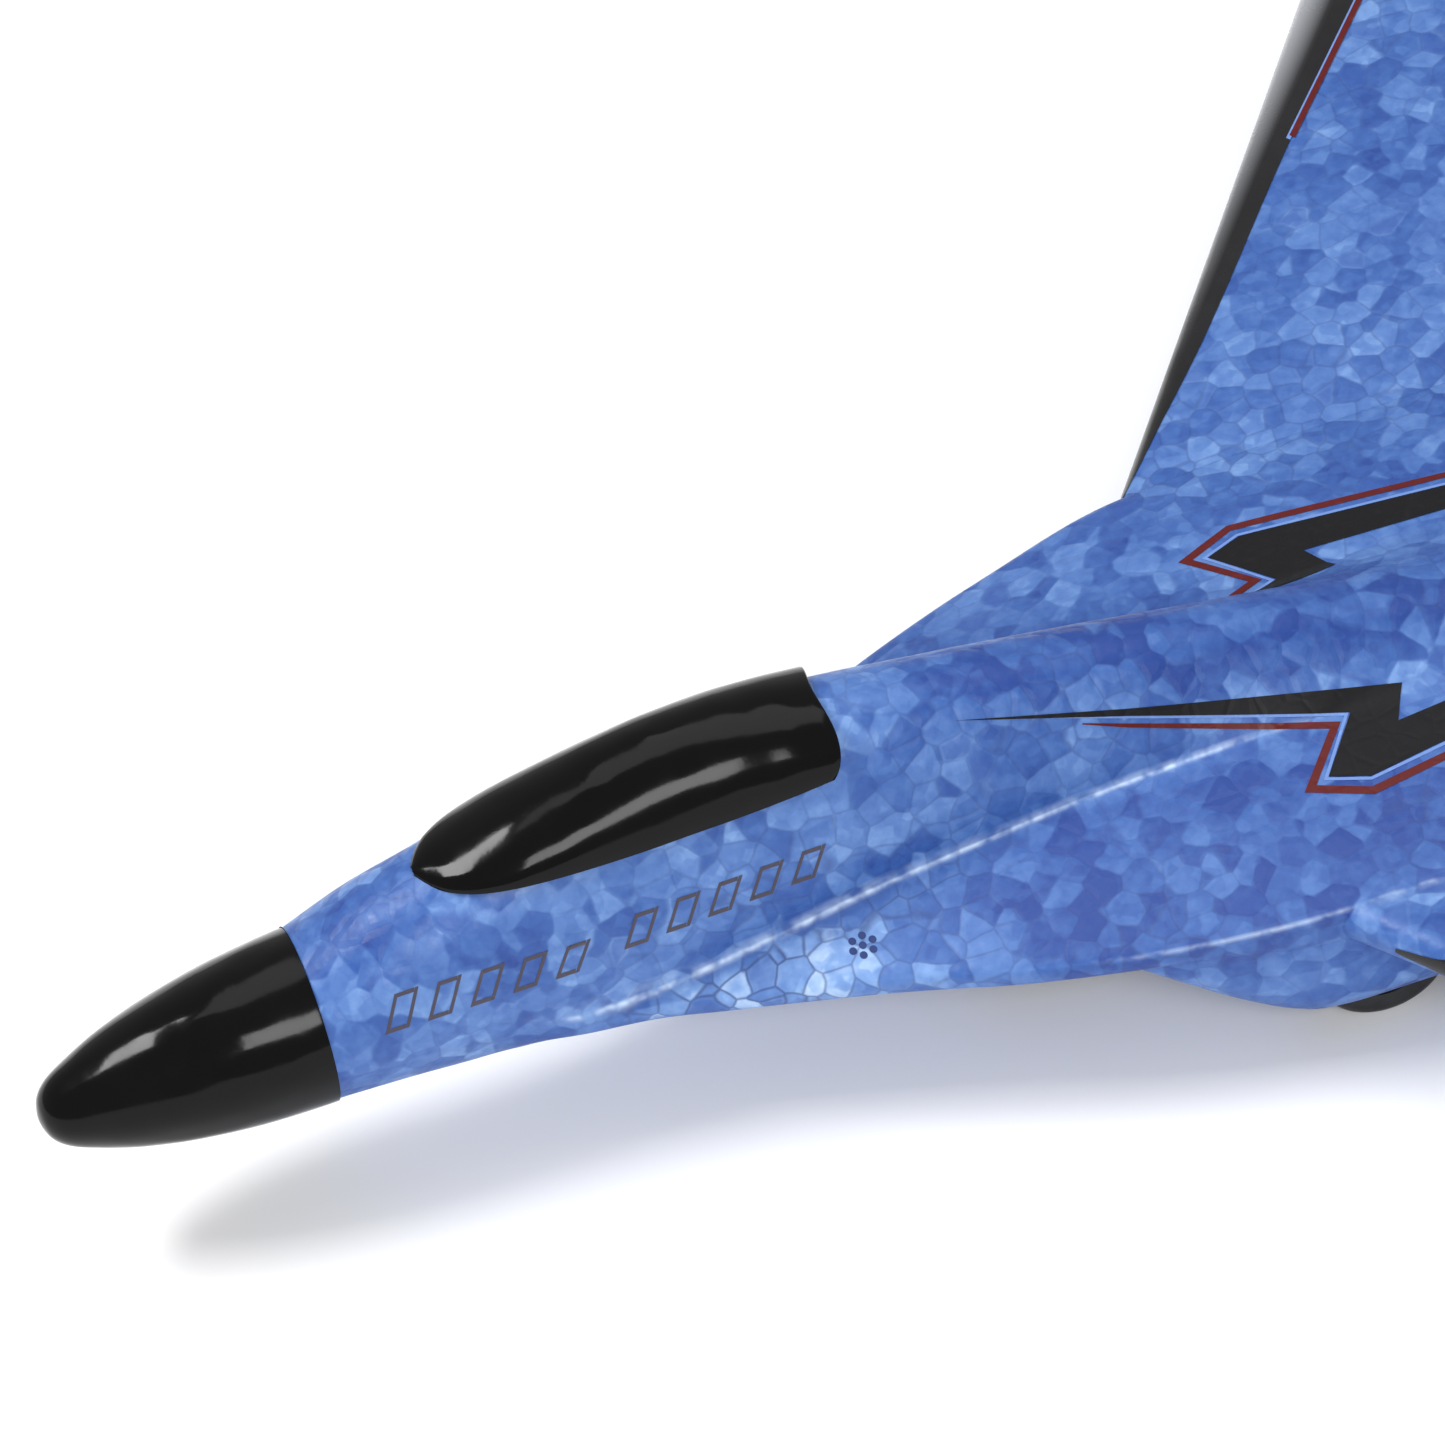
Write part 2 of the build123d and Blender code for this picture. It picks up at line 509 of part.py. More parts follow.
def make_motor_can(side):
    """Thin steel can, closed in front round the shaft."""
    y = MOTOR_Y * side
    can = rod_x(MOTOR_START, MOTOR_END, y, MOTOR_Z, MOTOR_RADIUS)
    can -= rod_x(MOTOR_START - 1, MOTOR_END - 0.6, y, MOTOR_Z, MOTOR_RADIUS - MOTOR_WALL)
    return can - rod_x(MOTOR_END - 2, MOTOR_END + 1, y, MOTOR_Z, SHAFT_RADIUS + SHAFT_CLEARANCE)


def make_motor_cap(side):
    """Plastic end bell that carries the brushes and closes the can."""
    y = MOTOR_Y * side
    cap = rod_x(MOTOR_START, MOTOR_START + END_CAP_LENGTH, y, MOTOR_Z, MOTOR_RADIUS - MOTOR_WALL)
    cap -= rod_x(MOTOR_START + 1.4, MOTOR_START + END_CAP_LENGTH + 1, y, MOTOR_Z, 1.8)
    return cap


def make_magnet(side):
    """Fixed magnet inside the rotor cup, held by a flange at the front of the can."""
    y = MOTOR_Y * side
    front = MOTOR_END - 0.6
    magnet = rod_x(MOTOR_START + 6.5, front, y, MOTOR_Z, MAGNET_RADIUS)
    return magnet - rod_x(MOTOR_START, MOTOR_END, y, MOTOR_Z, SHAFT_RADIUS + SHAFT_CLEARANCE)


def make_rotor(side):
    """Wound copper cup that turns between the magnet and the can, on its commutator disc."""
    y = MOTOR_Y * side
    start = MOTOR_START + 4.0
    cup = rod_x(start, MOTOR_END - 1.4, y, MOTOR_Z, ROTOR_RADIUS)
    cup -= rod_x(start + 1.6, MOTOR_END, y, MOTOR_Z, ROTOR_RADIUS - ROTOR_WALL)
    return cup - rod_x(start - 1, MOTOR_END, y, MOTOR_Z, SHAFT_RADIUS)


def make_shaft(side):
    y = MOTOR_Y * side
    return rod_x(MOTOR_START + 2.2, SHAFT_END, y, MOTOR_Z, SHAFT_RADIUS)


def blade_loop(radius, chord, thickness, pitch, hand):
    """A thin lens-shaped blade section at one radius, turned to its pitch."""
    points = []
    for k in range(12):
        angle = 2 * pi * k / 12
        along, across = chord / 2 * cos(angle), thickness / 2 * sin(angle)
        lean = radians(pitch) * hand
        x = along * sin(lean) + across * cos(lean)
        y = along * cos(lean) - across * sin(lean)
        points.append((x, y, radius))
    return points


def make_propeller(side):
    """Two twisted blades on a hub with a rounded nose, pressed on the shaft."""
    hub = rod_x(-PROP_HUB_LENGTH / 2, PROP_HUB_LENGTH / 2, 0, 0, PROP_HUB_RADIUS)
    hub = fillet(hub.edges().filter_by(GeomType.CIRCLE).sort_by(Axis.X)[-1], radius=1.4)
    tips = lofted([blade_loop(*row, side) for row in BLADE])
    blades = [Rot(180 * turn, 0, 0) * tips for turn in (0, 1)]
    whole = hub + blades[0] + blades[1]
    whole = Pos(PROP_X, MOTOR_Y * side, MOTOR_Z) * Rot(25 * side, 0, 0) * whole
    return whole - rod_x(PROP_X - 5, SHAFT_END, MOTOR_Y * side, MOTOR_Z, SHAFT_RADIUS)


def tray_block():
    return block(TRAY_FRONT, TRAY_REAR, -TRAY_HALF_WIDTH, TRAY_HALF_WIDTH, TRAY_BOTTOM, TRAY_TOP)


def make_tray():
    """Box let into the belly, open below, with four screw posts and two board rails."""
    wall = TRAY_WALL
    hollow = block(TRAY_FRONT + wall, TRAY_REAR - wall, -TRAY_HALF_WIDTH + wall, TRAY_HALF_WIDTH - wall,
                   TRAY_BOTTOM - 1, TRAY_TOP - wall)
    tray = tray_block() - hollow
    for x, y in SCREW_PLACES:
        tray += rod_z(TRAY_BOTTOM, TRAY_TOP - 0.5, x, y, POST_RADIUS)
    for y in (-1, 1):
        ledge = sorted((y * BOARD_HALF_WIDTH, y * (TRAY_HALF_WIDTH - 0.5)))
        tray += block(BOARD_FRONT + 2, BOARD_REAR - 2, ledge[0], ledge[1], BOARD_Z - 2.4, TRAY_TOP - 0.5)
    for x, y in SCREW_PLACES:
        tray -= rod_z(TRAY_BOTTOM - 1, TRAY_BOTTOM + SCREW_LENGTH, x, y, SCREW_RADIUS)
    for side in SIDES.values():
        start = LEAD_ROUTE[0]
        tray -= rod_x(TRAY_REAR - 3, TRAY_REAR + 1, start[1] * side, start[2], LEAD_RADIUS)
    start = ANTENNA_ROUTE[0]
    return tray - rod_x(TRAY_FRONT - 1, TRAY_FRONT + 3, start[1], start[2], ANTENNA_RADIUS)


def door_opening(gap):
    return block(DOOR_FRONT - gap, DOOR_REAR + gap, -DOOR_HALF_WIDTH - gap, DOOR_HALF_WIDTH + gap,
                 TRAY_BOTTOM - COVER_THICKNESS - 3, TRAY_BOTTOM + 1)


def hinge_centre():
    return DOOR_FRONT - 1.2, TRAY_BOTTOM - COVER_THICKNESS + 0.2


def make_cover():
    """Flat belly cover with the door opening, hinge ears and holes for switch, socket and lamp."""
    margin = COVER_MARGIN
    plate = block(TRAY_FRONT - margin, TRAY_REAR + margin,
                  -TRAY_HALF_WIDTH - margin, TRAY_HALF_WIDTH + margin,
                  TRAY_BOTTOM - COVER_THICKNESS, TRAY_BOTTOM)
    plate = fillet(plate.edges().filter_by(Axis.Z), radius=4.0)
    plate -= door_opening(DOOR_GAP)
    hx, hz = hinge_centre()
    plate -= block(hx - 1.4, DOOR_FRONT, -6.2, 6.2, TRAY_BOTTOM - 4, TRAY_BOTTOM + 1)
    for x, y in SCREW_PLACES:
        plate -= rod_z(TRAY_BOTTOM - 3, TRAY_BOTTOM + 1, x, y, SCREW_RADIUS + 0.1)
        plate -= Pos(x, y, TRAY_BOTTOM - COVER_THICKNESS + 0.35) * Cone(
            SCREW_HEAD_RADIUS + 0.15, SCREW_RADIUS + 0.1, 0.7)
    half = SWITCH_TRAVEL / 2 + 1.1
    plate -= block(SWITCH_X - half, SWITCH_X + half, SWITCH_Y - 1.2, SWITCH_Y + 1.2, -22, TRAY_BOTTOM + 1)
    plate -= block(SOCKET_X - 3.1, SOCKET_X + 3.1, SOCKET_Y - 2.1, SOCKET_Y + 2.1, -22, TRAY_BOTTOM + 1)
    plate -= rod_z(-22, TRAY_BOTTOM + 1, LED_X, 0, LED_RADIUS + 0.05)
    return plate - rod_y(-8.0, 8.0, hx, hz, HINGE_PIN_RADIUS)


def make_hinge_pin():
    hx, hz = hinge_centre()
    return rod_y(-8.0, 8.0, hx, hz, HINGE_PIN_RADIUS)


def make_door():
    """Battery door with a hinge knuckle in front and a finger notch behind."""
    door = block(DOOR_FRONT, DOOR_REAR, -DOOR_HALF_WIDTH, DOOR_HALF_WIDTH,
                 TRAY_BOTTOM - COVER_THICKNESS, TRAY_BOTTOM)
    hx, hz = hinge_centre()
    door += block(hx, DOOR_FRONT + 1, -5.9, 5.9, hz - 0.6, hz + 0.5)
    door += rod_y(-5.9, 5.9, hx, hz, HINGE_RADIUS)
    door -= rod_y(-5.0, 5.0, DOOR_REAR + 2.0, TRAY_BOTTOM - COVER_THICKNESS - 1.4, 3.0)
    return door - rod_y(-7.0, 7.0, hx, hz, HINGE_PIN_RADIUS + HINGE_CLEARANCE)


def make_screws():
    """Four countersunk cross-head screws."""
    head_z = TRAY_BOTTOM - COVER_THICKNESS
    solids = []
    for x, y in SCREW_PLACES:
        screw = rod_z(head_z + 0.6, TRAY_BOTTOM + SCREW_LENGTH - 0.5, x, y, SCREW_RADIUS)
        screw += Pos(x, y, head_z + 0.3) * Cone(SCREW_HEAD_RADIUS, SCREW_RADIUS, 0.6)
        for turn in (0, 90):
            slot = Pos(x, y, head_z + 0.1) * Rot(0, 0, turn) * Box(1.7, 0.35, 0.4)
            screw -= slot
        solids.append(screw)
    return Compound(children=solids)


def make_board():
    return block(BOARD_FRONT, BOARD_REAR, -BOARD_HALF_WIDTH, BOARD_HALF_WIDTH,
                 BOARD_Z - BOARD_THICKNESS, BOARD_Z)


def make_chips():
    """Receiver chip, motor drivers and crystal on the underside of the board."""
    under = BOARD_Z - BOARD_THICKNESS
    places = [(135.6, 4.2, 4.6, 4.6, 1.0), (142.5, 5.6, 4.0, 3.0, 0.9), (142.5, 1.2, 4.0, 3.0, 0.9),
              (150.0, -5.5, 3.2, 1.5, 1.0)]
    chips = []
    for x, y, length, width, height in places:
        chips.append(block(x - length / 2, x + length / 2, y - width / 2, y + width / 2, under - height, under))
    return Compound(children=chips)


def make_battery():
    cell = block(BATTERY_FRONT, BATTERY_REAR, -BATTERY_HALF_WIDTH, BATTERY_HALF_WIDTH,
                 BATTERY_BOTTOM, BATTERY_TOP)
    return fillet(cell.edges().filter_by(Axis.X), radius=1.8)


def make_battery_plug():
    return block(155.6, 159.4, 3.5, 8.0, -14.2, -11.6)


def make_battery_socket():
    return block(151.0, 155.6, 3.2, 8.3, -14.6, BOARD_Z - BOARD_THICKNESS)


def make_switch_body():
    """Slide switch under the board, with a slot that its knob runs in."""
    top = BOARD_Z - BOARD_THICKNESS
    body = block(SWITCH_X - 4.3, SWITCH_X + 4.3, SWITCH_Y - 1.9, SWITCH_Y + 1.9, TRAY_BOTTOM + 0.1, top)
    half = SWITCH_TRAVEL / 2 + 1.0
    return body - block(SWITCH_X - half, SWITCH_X + half, SWITCH_Y - 0.95, SWITCH_Y + 0.95,
                        TRAY_BOTTOM - 1, TRAY_BOTTOM + 2.4)


def make_switch_knob():
    """Ribbed knob, shown in its off place at the forward end of its travel."""
    x = SWITCH_X - SWITCH_TRAVEL / 2
    knob = block(x - 0.85, x + 0.85, SWITCH_Y - 0.85, SWITCH_Y + 0.85, TRAY_BOTTOM - 2.6, TRAY_BOTTOM + 2.3)
    for shift in (-0.4, 0.4):
        knob -= block(x + shift - 0.12, x + shift + 0.12, -10, 10, TRAY_BOTTOM - 3, TRAY_BOTTOM - 2.3)
    return knob


def make_charge_socket():
    top = BOARD_Z - BOARD_THICKNESS
    body = block(SOCKET_X - 2.95, SOCKET_X + 2.95, SOCKET_Y - 1.95, SOCKET_Y + 1.95,
                 TRAY_BOTTOM - COVER_THICKNESS + 0.1, top)
    body -= block(SOCKET_X - 2.3, SOCKET_X + 2.3, SOCKET_Y - 1.35, SOCKET_Y + 1.35, -22, -13.2)
    pins = [rod_z(-17.0, -13.2, SOCKET_X + shift, SOCKET_Y, 0.3) for shift in (-1.0, 1.0)]
    return body + pins[0] + pins[1]


def make_lamp():
    """Status lamp, a domed lens under the board."""
    dome_z = TRAY_BOTTOM - COVER_THICKNESS
    lamp = rod_z(dome_z, BOARD_Z - BOARD_THICKNESS, LED_X, 0, LED_RADIUS)
    return lamp + Pos(LED_X, 0, dome_z) * Sphere(LED_RADIUS)


def foam_canopy_core():
    """Foam that fills the canopy, clear of the shell."""
    return canopy_solid(CANOPY_WALL + CANOPY_GAP, 2.0)


def make_body():
    """The one-piece foam moulding: fuselage, wings, nacelles and tail deck, with all its pockets."""
    body = lofted([mirrored_loop(x, half) for x, half in BODY])
    body += lofted([ellipse_loop(*row) for row in STINGER])
    for side in SIDES.values():
        body += lofted([nacelle_loop(*row, side) for row in NACELLE])
        body += wing_solid(side)
    body -= canopy_solid(0.0, 0.02)
    body += foam_canopy_core()
    body += Pos((SPIGOT_START + NOSE_LENGTH) / 2 + 0.25, 0, 0.0) * Rot(0, 90, 0) * Cone(
        SPIGOT_TIP_RADIUS, SPIGOT_BASE_RADIUS, NOSE_LENGTH - SPIGOT_START + 0.5)
    body -= tray_block()
    body -= rod_y(-SPAR_HALF_LENGTH, SPAR_HALF_LENGTH, SPAR_X, SPAR_Z, SPAR_RADIUS)
    for side in SIDES.values():
        body -= wheel_box_block(side, GROUND - 4)
        body -= motor_notch(side)
        body -= make_fin(side)
        body -= make_tailplane(side)
        body -= tube_along(mirror_route(LEAD_ROUTE, side), LEAD_CHANNEL_RADIUS)
    body -= tube_along(ANTENNA_ROUTE, ANTENNA_RADIUS + 0.2)
    body -= block(250, 300, -60, 60, GROUND - 5, GROUND)
    return max(body.solids(), key=lambda s: s.volume)


def all_parts():
    parts = {
        "foam_body": make_body(),
        "nose_cone": make_nose_cone(),
        "canopy": make_canopy(),
        "wing_spar": make_spar(),
        "electronics_tray": make_tray(),
        "belly_cover": make_cover(),
        "battery_door": make_door(),
        "door_hinge_pin": make_hinge_pin(),
        "cover_screws": make_screws(),
        "circuit_board": make_board(),
        "board_chips": make_chips(),
        "battery_cell": make_battery(),
        "battery_plug": make_battery_plug(),
        "battery_socket": make_battery_socket(),
        "switch_body": make_switch_body(),
        "switch_knob": make_switch_knob(),
        "charge_socket": make_charge_socket(),
        "status_lamp": make_lamp(),
        "antenna_wire": tube_along(ANTENNA_ROUTE, ANTENNA_RADIUS),
    }
    per_side = {
        "fin": make_fin,
        "tailplane": make_tailplane,
        "edge_tape": make_tape,
        "wheel_box": make_wheel_box,
        "axle": make_axle,
        "wheel_hub": make_hub,
        "tyre": make_tyre,
        "motor_mount": make_motor_mount,
        "motor_can": make_motor_can,
        "motor_end_cap": make_motor_cap,
        "motor_magnet": make_magnet,
        "motor_rotor": make_rotor,
        "motor_shaft": make_shaft,
        "propeller": make_propeller,
    }
    for name, side in SIDES.items():
        for kind, make in per_side.items():
            parts[f"{kind}_{name}"] = make(side)
        parts[f"motor_lead_{name}"] = tube_along(mirror_route(LEAD_ROUTE, side), LEAD_RADIUS)
    return parts


os.makedirs("parts", exist_ok=True)
to_row_frame = Pos(-LENGTH / 2, 0, -GROUND)
for node, shape in all_parts().items():
    placed = to_row_frame * shape
    export_step(placed, f"parts/{node}.step")
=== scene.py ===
from math import cos, pi, radians, sin

import bmesh
import bpy
import numpy as np
from mathutils import Matrix, Vector
from mathutils.bvhtree import BVHTree


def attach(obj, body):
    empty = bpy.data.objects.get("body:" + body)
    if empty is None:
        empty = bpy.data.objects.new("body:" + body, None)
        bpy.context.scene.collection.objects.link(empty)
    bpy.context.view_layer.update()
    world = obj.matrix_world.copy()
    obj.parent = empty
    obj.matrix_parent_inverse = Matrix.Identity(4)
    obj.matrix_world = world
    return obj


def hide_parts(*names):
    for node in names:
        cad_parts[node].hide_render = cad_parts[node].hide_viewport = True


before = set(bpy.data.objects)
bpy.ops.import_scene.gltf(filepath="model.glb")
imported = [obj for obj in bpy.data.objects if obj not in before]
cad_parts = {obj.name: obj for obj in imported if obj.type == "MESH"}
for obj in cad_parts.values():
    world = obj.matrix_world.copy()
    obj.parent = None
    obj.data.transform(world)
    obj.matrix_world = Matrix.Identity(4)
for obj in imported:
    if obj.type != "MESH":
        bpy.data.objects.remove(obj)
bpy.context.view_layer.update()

# Dimensions are millimetres in the design datum (X aft from the nose tip, Y to starboard, Z up from
# the wing plane); metres() moves them into the frame.
ORIGIN = np.array([-172.5, 0.0, 26.1])
SIDES = {"left": -1.0, "right": 1.0}
GROUND = -26.1

# fuselage sections: x, then y and z of the starboard half from crown to keel
BODY = [
    (36.8, [(0, 11.6), (4.9, 10.5), (8.7, 7.6), (10.7, 4.3), (11.4, 1.8), (11.5, 0.6),
            (11.52, 0.0), (11.5, -0.8), (11.3, -2.2), (9.2, -6.8), (5.3, -10.2), (0, -11.4)]),
    (45.0, [(0, 15.6), (4.9, 14.4), (8.7, 11.1), (10.8, 7.1), (11.6, 3.7), (11.7, 2.2),
            (11.72, 1.4), (11.68, 0.4), (11.5, -1.2), (9.4, -6.7), (5.4, -10.9), (0, -12.3)]),
    (54.0, [(0, 18.5), (4.6, 17.5), (8.3, 14.0), (10.8, 9.2), (11.65, 5.0), (11.75, 2.6),
            (11.75, 1.2), (11.6, -0.8), (11.2, -2.6), (9.3, -7.4), (5.5, -11.6), (0, -13.2)]),
    (62.0, [(0, 20.3), (4.4, 19.5), (7.0, 17.9), (10.9, 10.6), (12.0, 4.0), (11.7, -1.8),
            (11.4, -3.6), (11.1, -4.9), (10.2, -7.4), (8.4, -9.3), (5.1, -12.0), (0, -13.4)]),
    (69.0, [(0, 22.6), (4.9, 21.2), (7.9, 17.8), (11.1, 10.6), (12.1, 3.4), (11.8, -4.0),
            (12.0, -4.9), (12.2, -5.4), (11.7, -7.7), (8.8, -9.6), (5.2, -12.3), (0, -13.5)]),
    (78.0, [(0, 24.9), (5.2, 23.0), (8.4, 17.8), (11.2, 10.6), (12.3, 3.4), (12.2, -3.6),
            (13.2, -4.3), (14.1, -4.8), (13.7, -7.3), (9.4, -9.9), (5.4, -12.6), (0, -13.6)]),
    (86.5, [(0, 26.3), (5.4, 24.3), (8.6, 18.0), (11.3, 10.6), (12.5, 3.4), (12.5, -2.2),
            (14.8, -3.3), (17.1, -4.2), (16.8, -7.0), (10.0, -10.0), (5.6, -12.8), (0, -13.8)]),
    (95.0, [(0, 26.8), (5.4, 24.7), (8.7, 18.3), (11.3, 10.6), (12.5, 4.0), (12.6, -0.9),
            (16.4, -2.3), (20.2, -3.7), (19.9, -6.6), (10.8, -10.2), (5.8, -13.0), (0, -14.0)]),
    (108.0, [(0, 25.2), (5.2, 23.5), (8.6, 19.0), (11.0, 12.0), (12.2, 6.0), (12.4, 1.2),
             (18.6, -0.8), (25.2, -3.0), (24.9, -6.0), (11.5, -10.6), (7.0, -14.4), (0, -15.2)]),
    (123.0, [(0, 22.9), (4.7, 21.5), (7.8, 17.4), (10.4, 11.6), (11.7, 7.0), (12.2, 2.8),
             (21.4, 0.7), (31.8, -2.2), (31.5, -5.3), (17.0, -8.0), (15.5, -16.8), (0, -17.0)]),
    (140.0, [(0, 20.0), (4.4, 18.7), (7.1, 15.2), (9.5, 10.6), (11.0, 7.2), (11.8, 4.0),
             (24.0, 1.9), (37.4, -1.3), (37.1, -4.6), (18.0, -8.5), (16.5, -16.8), (0, -17.0)]),
    (161.0, [(0, 16.0), (3.9, 14.9), (6.6, 12.0), (9.0, 8.8), (10.8, 6.6), (12.2, 4.9),
             (27.0, 3.3), (41.8, 0.3), (41.8, -5.4), (19.0, -9.0), (16.5, -16.8), (0, -17.0)]),
    (180.0, [(0, 11.8), (3.8, 11.0), (6.6, 9.2), (9.2, 7.2), (11.2, 5.9), (13.0, 5.0),
             (28.0, 3.4), (42.5, 0.8), (42.5, -5.9), (19.0, -9.0), (16.5, -16.8), (0, -17.0)]),
    (202.0, [(0, 8.0), (4.0, 7.7), (7.2, 6.9), (10.0, 6.1), (12.0, 5.6), (14.0, 5.1),
             (28.0, 3.4), (42.5, 0.9), (42.5, -5.9), (19.0, -9.0), (16.5, -16.8), (0, -17.0)]),
    (235.0, [(0, 6.9), (4.0, 6.7), (7.5, 6.2), (10.0, 5.7), (12.0, 5.3), (14.0, 4.9),
             (28.0, 3.3), (42.2, 0.6), (42.2, -5.2), (19.0, -8.4), (14.0, -14.0), (0, -15.0)]),
    (268.0, [(0, 6.2), (4.0, 6.1), (7.5, 5.8), (10.0, 5.4), (12.0, 5.1), (14.0, 4.7),
             (27.0, 3.2), (41.6, -0.2), (41.6, -4.0), (19.0, -7.0), (11.0, -10.0), (0, -11.0)]),
    (276.0, [(0, 6.0), (4.0, 5.9), (7.5, 5.6), (10.0, 5.3), (12.0, 5.0), (14.0, 4.6),
             (25.0, 3.1), (36.4, 0.4), (36.4, -4.2), (19.0, -6.6), (10.5, -9.0), (0, -10.0)]),
    (322.0, [(0, 4.6), (4.0, 4.5), (7.5, 4.2), (10.0, 3.9), (12.0, 3.6), (14.0, 3.2),
             (25.0, 2.2), (35.4, 0.2), (35.4, -3.6), (19.0, -5.4), (9.5, -6.6), (0, -7.2)]),
]
CREASE_POINT, RIM_POINT = 5, 7
CREASE_RADIUS = 0.9
CORNER_RADII = {6: 4.0, 7: 1.3, 8: 1.6, 9: 3.0, 10: 3.5}
STATION_STEP = 1.6

# x, half width, middle z and half height
STINGER = [(300.0, 9.0, -1.5, 5.0), (322.0, 7.6, -1.6, 4.6), (336.0, 5.6, -1.9, 3.6),
           (342.5, 4.1, -2.1, 2.7), (344.4, 3.0, -2.2, 1.9), (345.0, 1.4, -2.2, 0.9)]

# x, centre y, half width, top z, bottom z and the radius of the lower corners
NACELLE = [
    (135.0, 29.0, 5.0, -1.5, -5.6, 1.6),
    (142.0, 28.4, 8.8, -1.5, -11.2, 5.0),
    (146.0, 28.8, 9.8, -1.5, -14.3, 6.2),
    (150.0, 29.2, 10.4, -1.5, -17.3, 7.4),
    (154.0, 29.4, 10.9, -1.5, -19.9, 8.2),
    (158.0, 29.5, 11.3, -1.5, -21.6, 8.8),
    (164.0, 29.5, 11.5, -1.5, -22.3, 9.0),
    (180.0, 29.5, 11.5, -1.5, -22.6, 9.0),
    (225.0, 29.5, 11.4, -1.5, -24.6, 8.6),
    (260.0, 28.6, 11.2, -1.5, -26.5, 7.6),
    (290.0, 25.2, 10.6, -1.5, -26.5, 7.0),
    (308.0, 24.8, 9.6, -1.6, -22.0, 8.0),
    (321.0, 24.6, 8.8, -1.8, -18.9, 8.0),
    (322.0, 24.6, 8.2, -2.2, -18.2, 7.4),
]

# hollow at the rear of a nacelle: centre, half sizes, then station x and share of the half sizes
NOZZLE_Y, NOZZLE_Z, NOZZLE_HALF_WIDTH, NOZZLE_HALF_HEIGHT = 24.6, -10.9, 6.6, 5.1
NOZZLE_STEPS = [(317.4, 0.66), (317.6, 0.74), (318.4, 0.80), (321.6, 0.95), (321.9, 0.99), (322.6, 1.1)]

# what is cut from the moulding: lowest and highest x, y and z on the starboard side
PAD_CUT = (230.0, 310.0, -60.0, 60.0, GROUND - 5.0, GROUND)
TRAY_WELL = (124.0, 198.0, -12.6, 12.6, -24.0, -7.0)
WHEEL_WELL = (156.5, 178.5, 29.3, 37.7, -30.0, -6.4)
MOTOR_NOTCH = (249.4, 290.0, 56.6, 67.4, -12.0, 12.0)

WING_ROOT_Y, HALF_SPAN = 41.8, 150.0
WING_ROOT_LE, LE_SLOPE = 161.0, 0.695
WING_ROOT_TE, TE_SLOPE = 268.0, 0.167
WING_TOP = (0.3, 0.9)
WING_BOTTOM = (-5.9, -3.2)
WING_CROWN = 1.3
TE_THICKNESS = 2.0
# y, how far the leading and trailing edges draw in, and the share of the full thickness
WING_STATIONS = [(35.0, 0.0, 0.0, 1.0), (41.8, 0.0, 0.0, 1.0), (134.0, 0.0, 0.0, 1.0),
                 (144.0, 2.2, 1.2, 0.92), (148.6, 6.0, 4.0, 0.7), (150.0, 11.0, 8.0, 0.4)]

# x, half width, edge z and crown z
CANOPY = [
    (53.4, 0.9, 18.1, 18.9), (54.6, 3.2, 18.1, 19.4), (57.0, 5.7, 18.0, 20.3), (61.0, 7.6, 17.9, 21.7),
    (66.0, 8.6, 17.8, 23.4), (72.0, 9.1, 17.75, 25.0), (80.0, 9.4, 17.8, 26.8), (88.0, 9.5, 18.05, 28.0),
    (95.0, 9.6, 18.3, 28.2), (102.0, 9.55, 18.65, 27.5), (107.6, 9.4, 19.0, 26.3),
]
CANOPY_WALL = 0.9
CANOPY_REAR_SLANT, CANOPY_BULGE, CANOPY_CORNER = 0.2, 1.15, 0.7
CANOPY_END_LENGTH = 8.6  # the part whose arches lean towards the rear edge

NOSE_LENGTH, NOSE_DROOP, NOSE_WALL = 36.8, 3.6, 1.0
# distance from the tip and radius
NOSE_PROFILE = [(0.0, 0.0), (0.15, 1.2), (0.6, 2.5), (2.2, 4.25), (6.0, 6.1), (11.5, 8.05), (19.0, 9.8),
                (28.0, 11.05), (36.8, 11.55), (40.0, 11.6)]

# y and the width of film on top of the wing
TAPE_EDGE = {
    "left": [(48.5, 0.04), (53.0, 0.3), (58.0, 1.8), (64.4, 4.0),
             (94.0, 7.4), (115.0, 10.8), (149.0, 15.6)],
    "right": [(41.2, 0.4), (44.0, 1.6), (52.0, 3.2), (64.4, 5.2),
              (94.0, 7.6), (115.0, 10.8), (149.0, 15.6)],
}
TAPE_UNDER = 0.5
TAPE_LIFT = 0.12

FIN_Y, FIN_THICKNESS = 31.0, 3.0
FIN_OUTLINE = [(262.0, 0.0), (268.0, 4.0), (292.0, 44.0), (296.0, 47.0), (316.0, 47.0), (318.0, 44.0),
               (314.0, 4.0), (312.0, 0.0)]
# y, leading edge x, trailing edge x and half thickness
TAIL_EDGES = [(32.0, 291.0, 320.0, 1.6), (91.0, 317.7, 335.7, 1.25), (94.0, 319.8, 335.9, 1.0),
              (96.0, 323.0, 335.0, 0.72)]
TAIL_MID_Z = -1.9

PROP_X, MOTOR_Y = 281.5, 62.0
PROP_TURN = 25
SHAFT_RADIUS = 0.5
# distance along the shaft and radius
HUB = [(-3.0, SHAFT_RADIUS), (-3.0, 2.35), (-2.75, 2.6), (0.6, 2.6), (1.6, 2.55), (2.3, 2.2),
       (2.8, 1.6), (3.0, 0.9), (3.0, SHAFT_RADIUS)]
# radius, chord, thickness and pitch in degrees
BLADE = [(2.0, 3.2, 1.6, 52.0), (6.0, 5.2, 1.3, 40.0), (12.0, 6.0, 1.0, 27.0), (18.0, 5.0, 0.8, 20.0),
         (21.6, 3.6, 0.65, 17.5), (22.4, 2.6, 0.6, 17.0)]


def metres(points):
    return (np.asarray(points, float) + ORIGIN) * 0.001


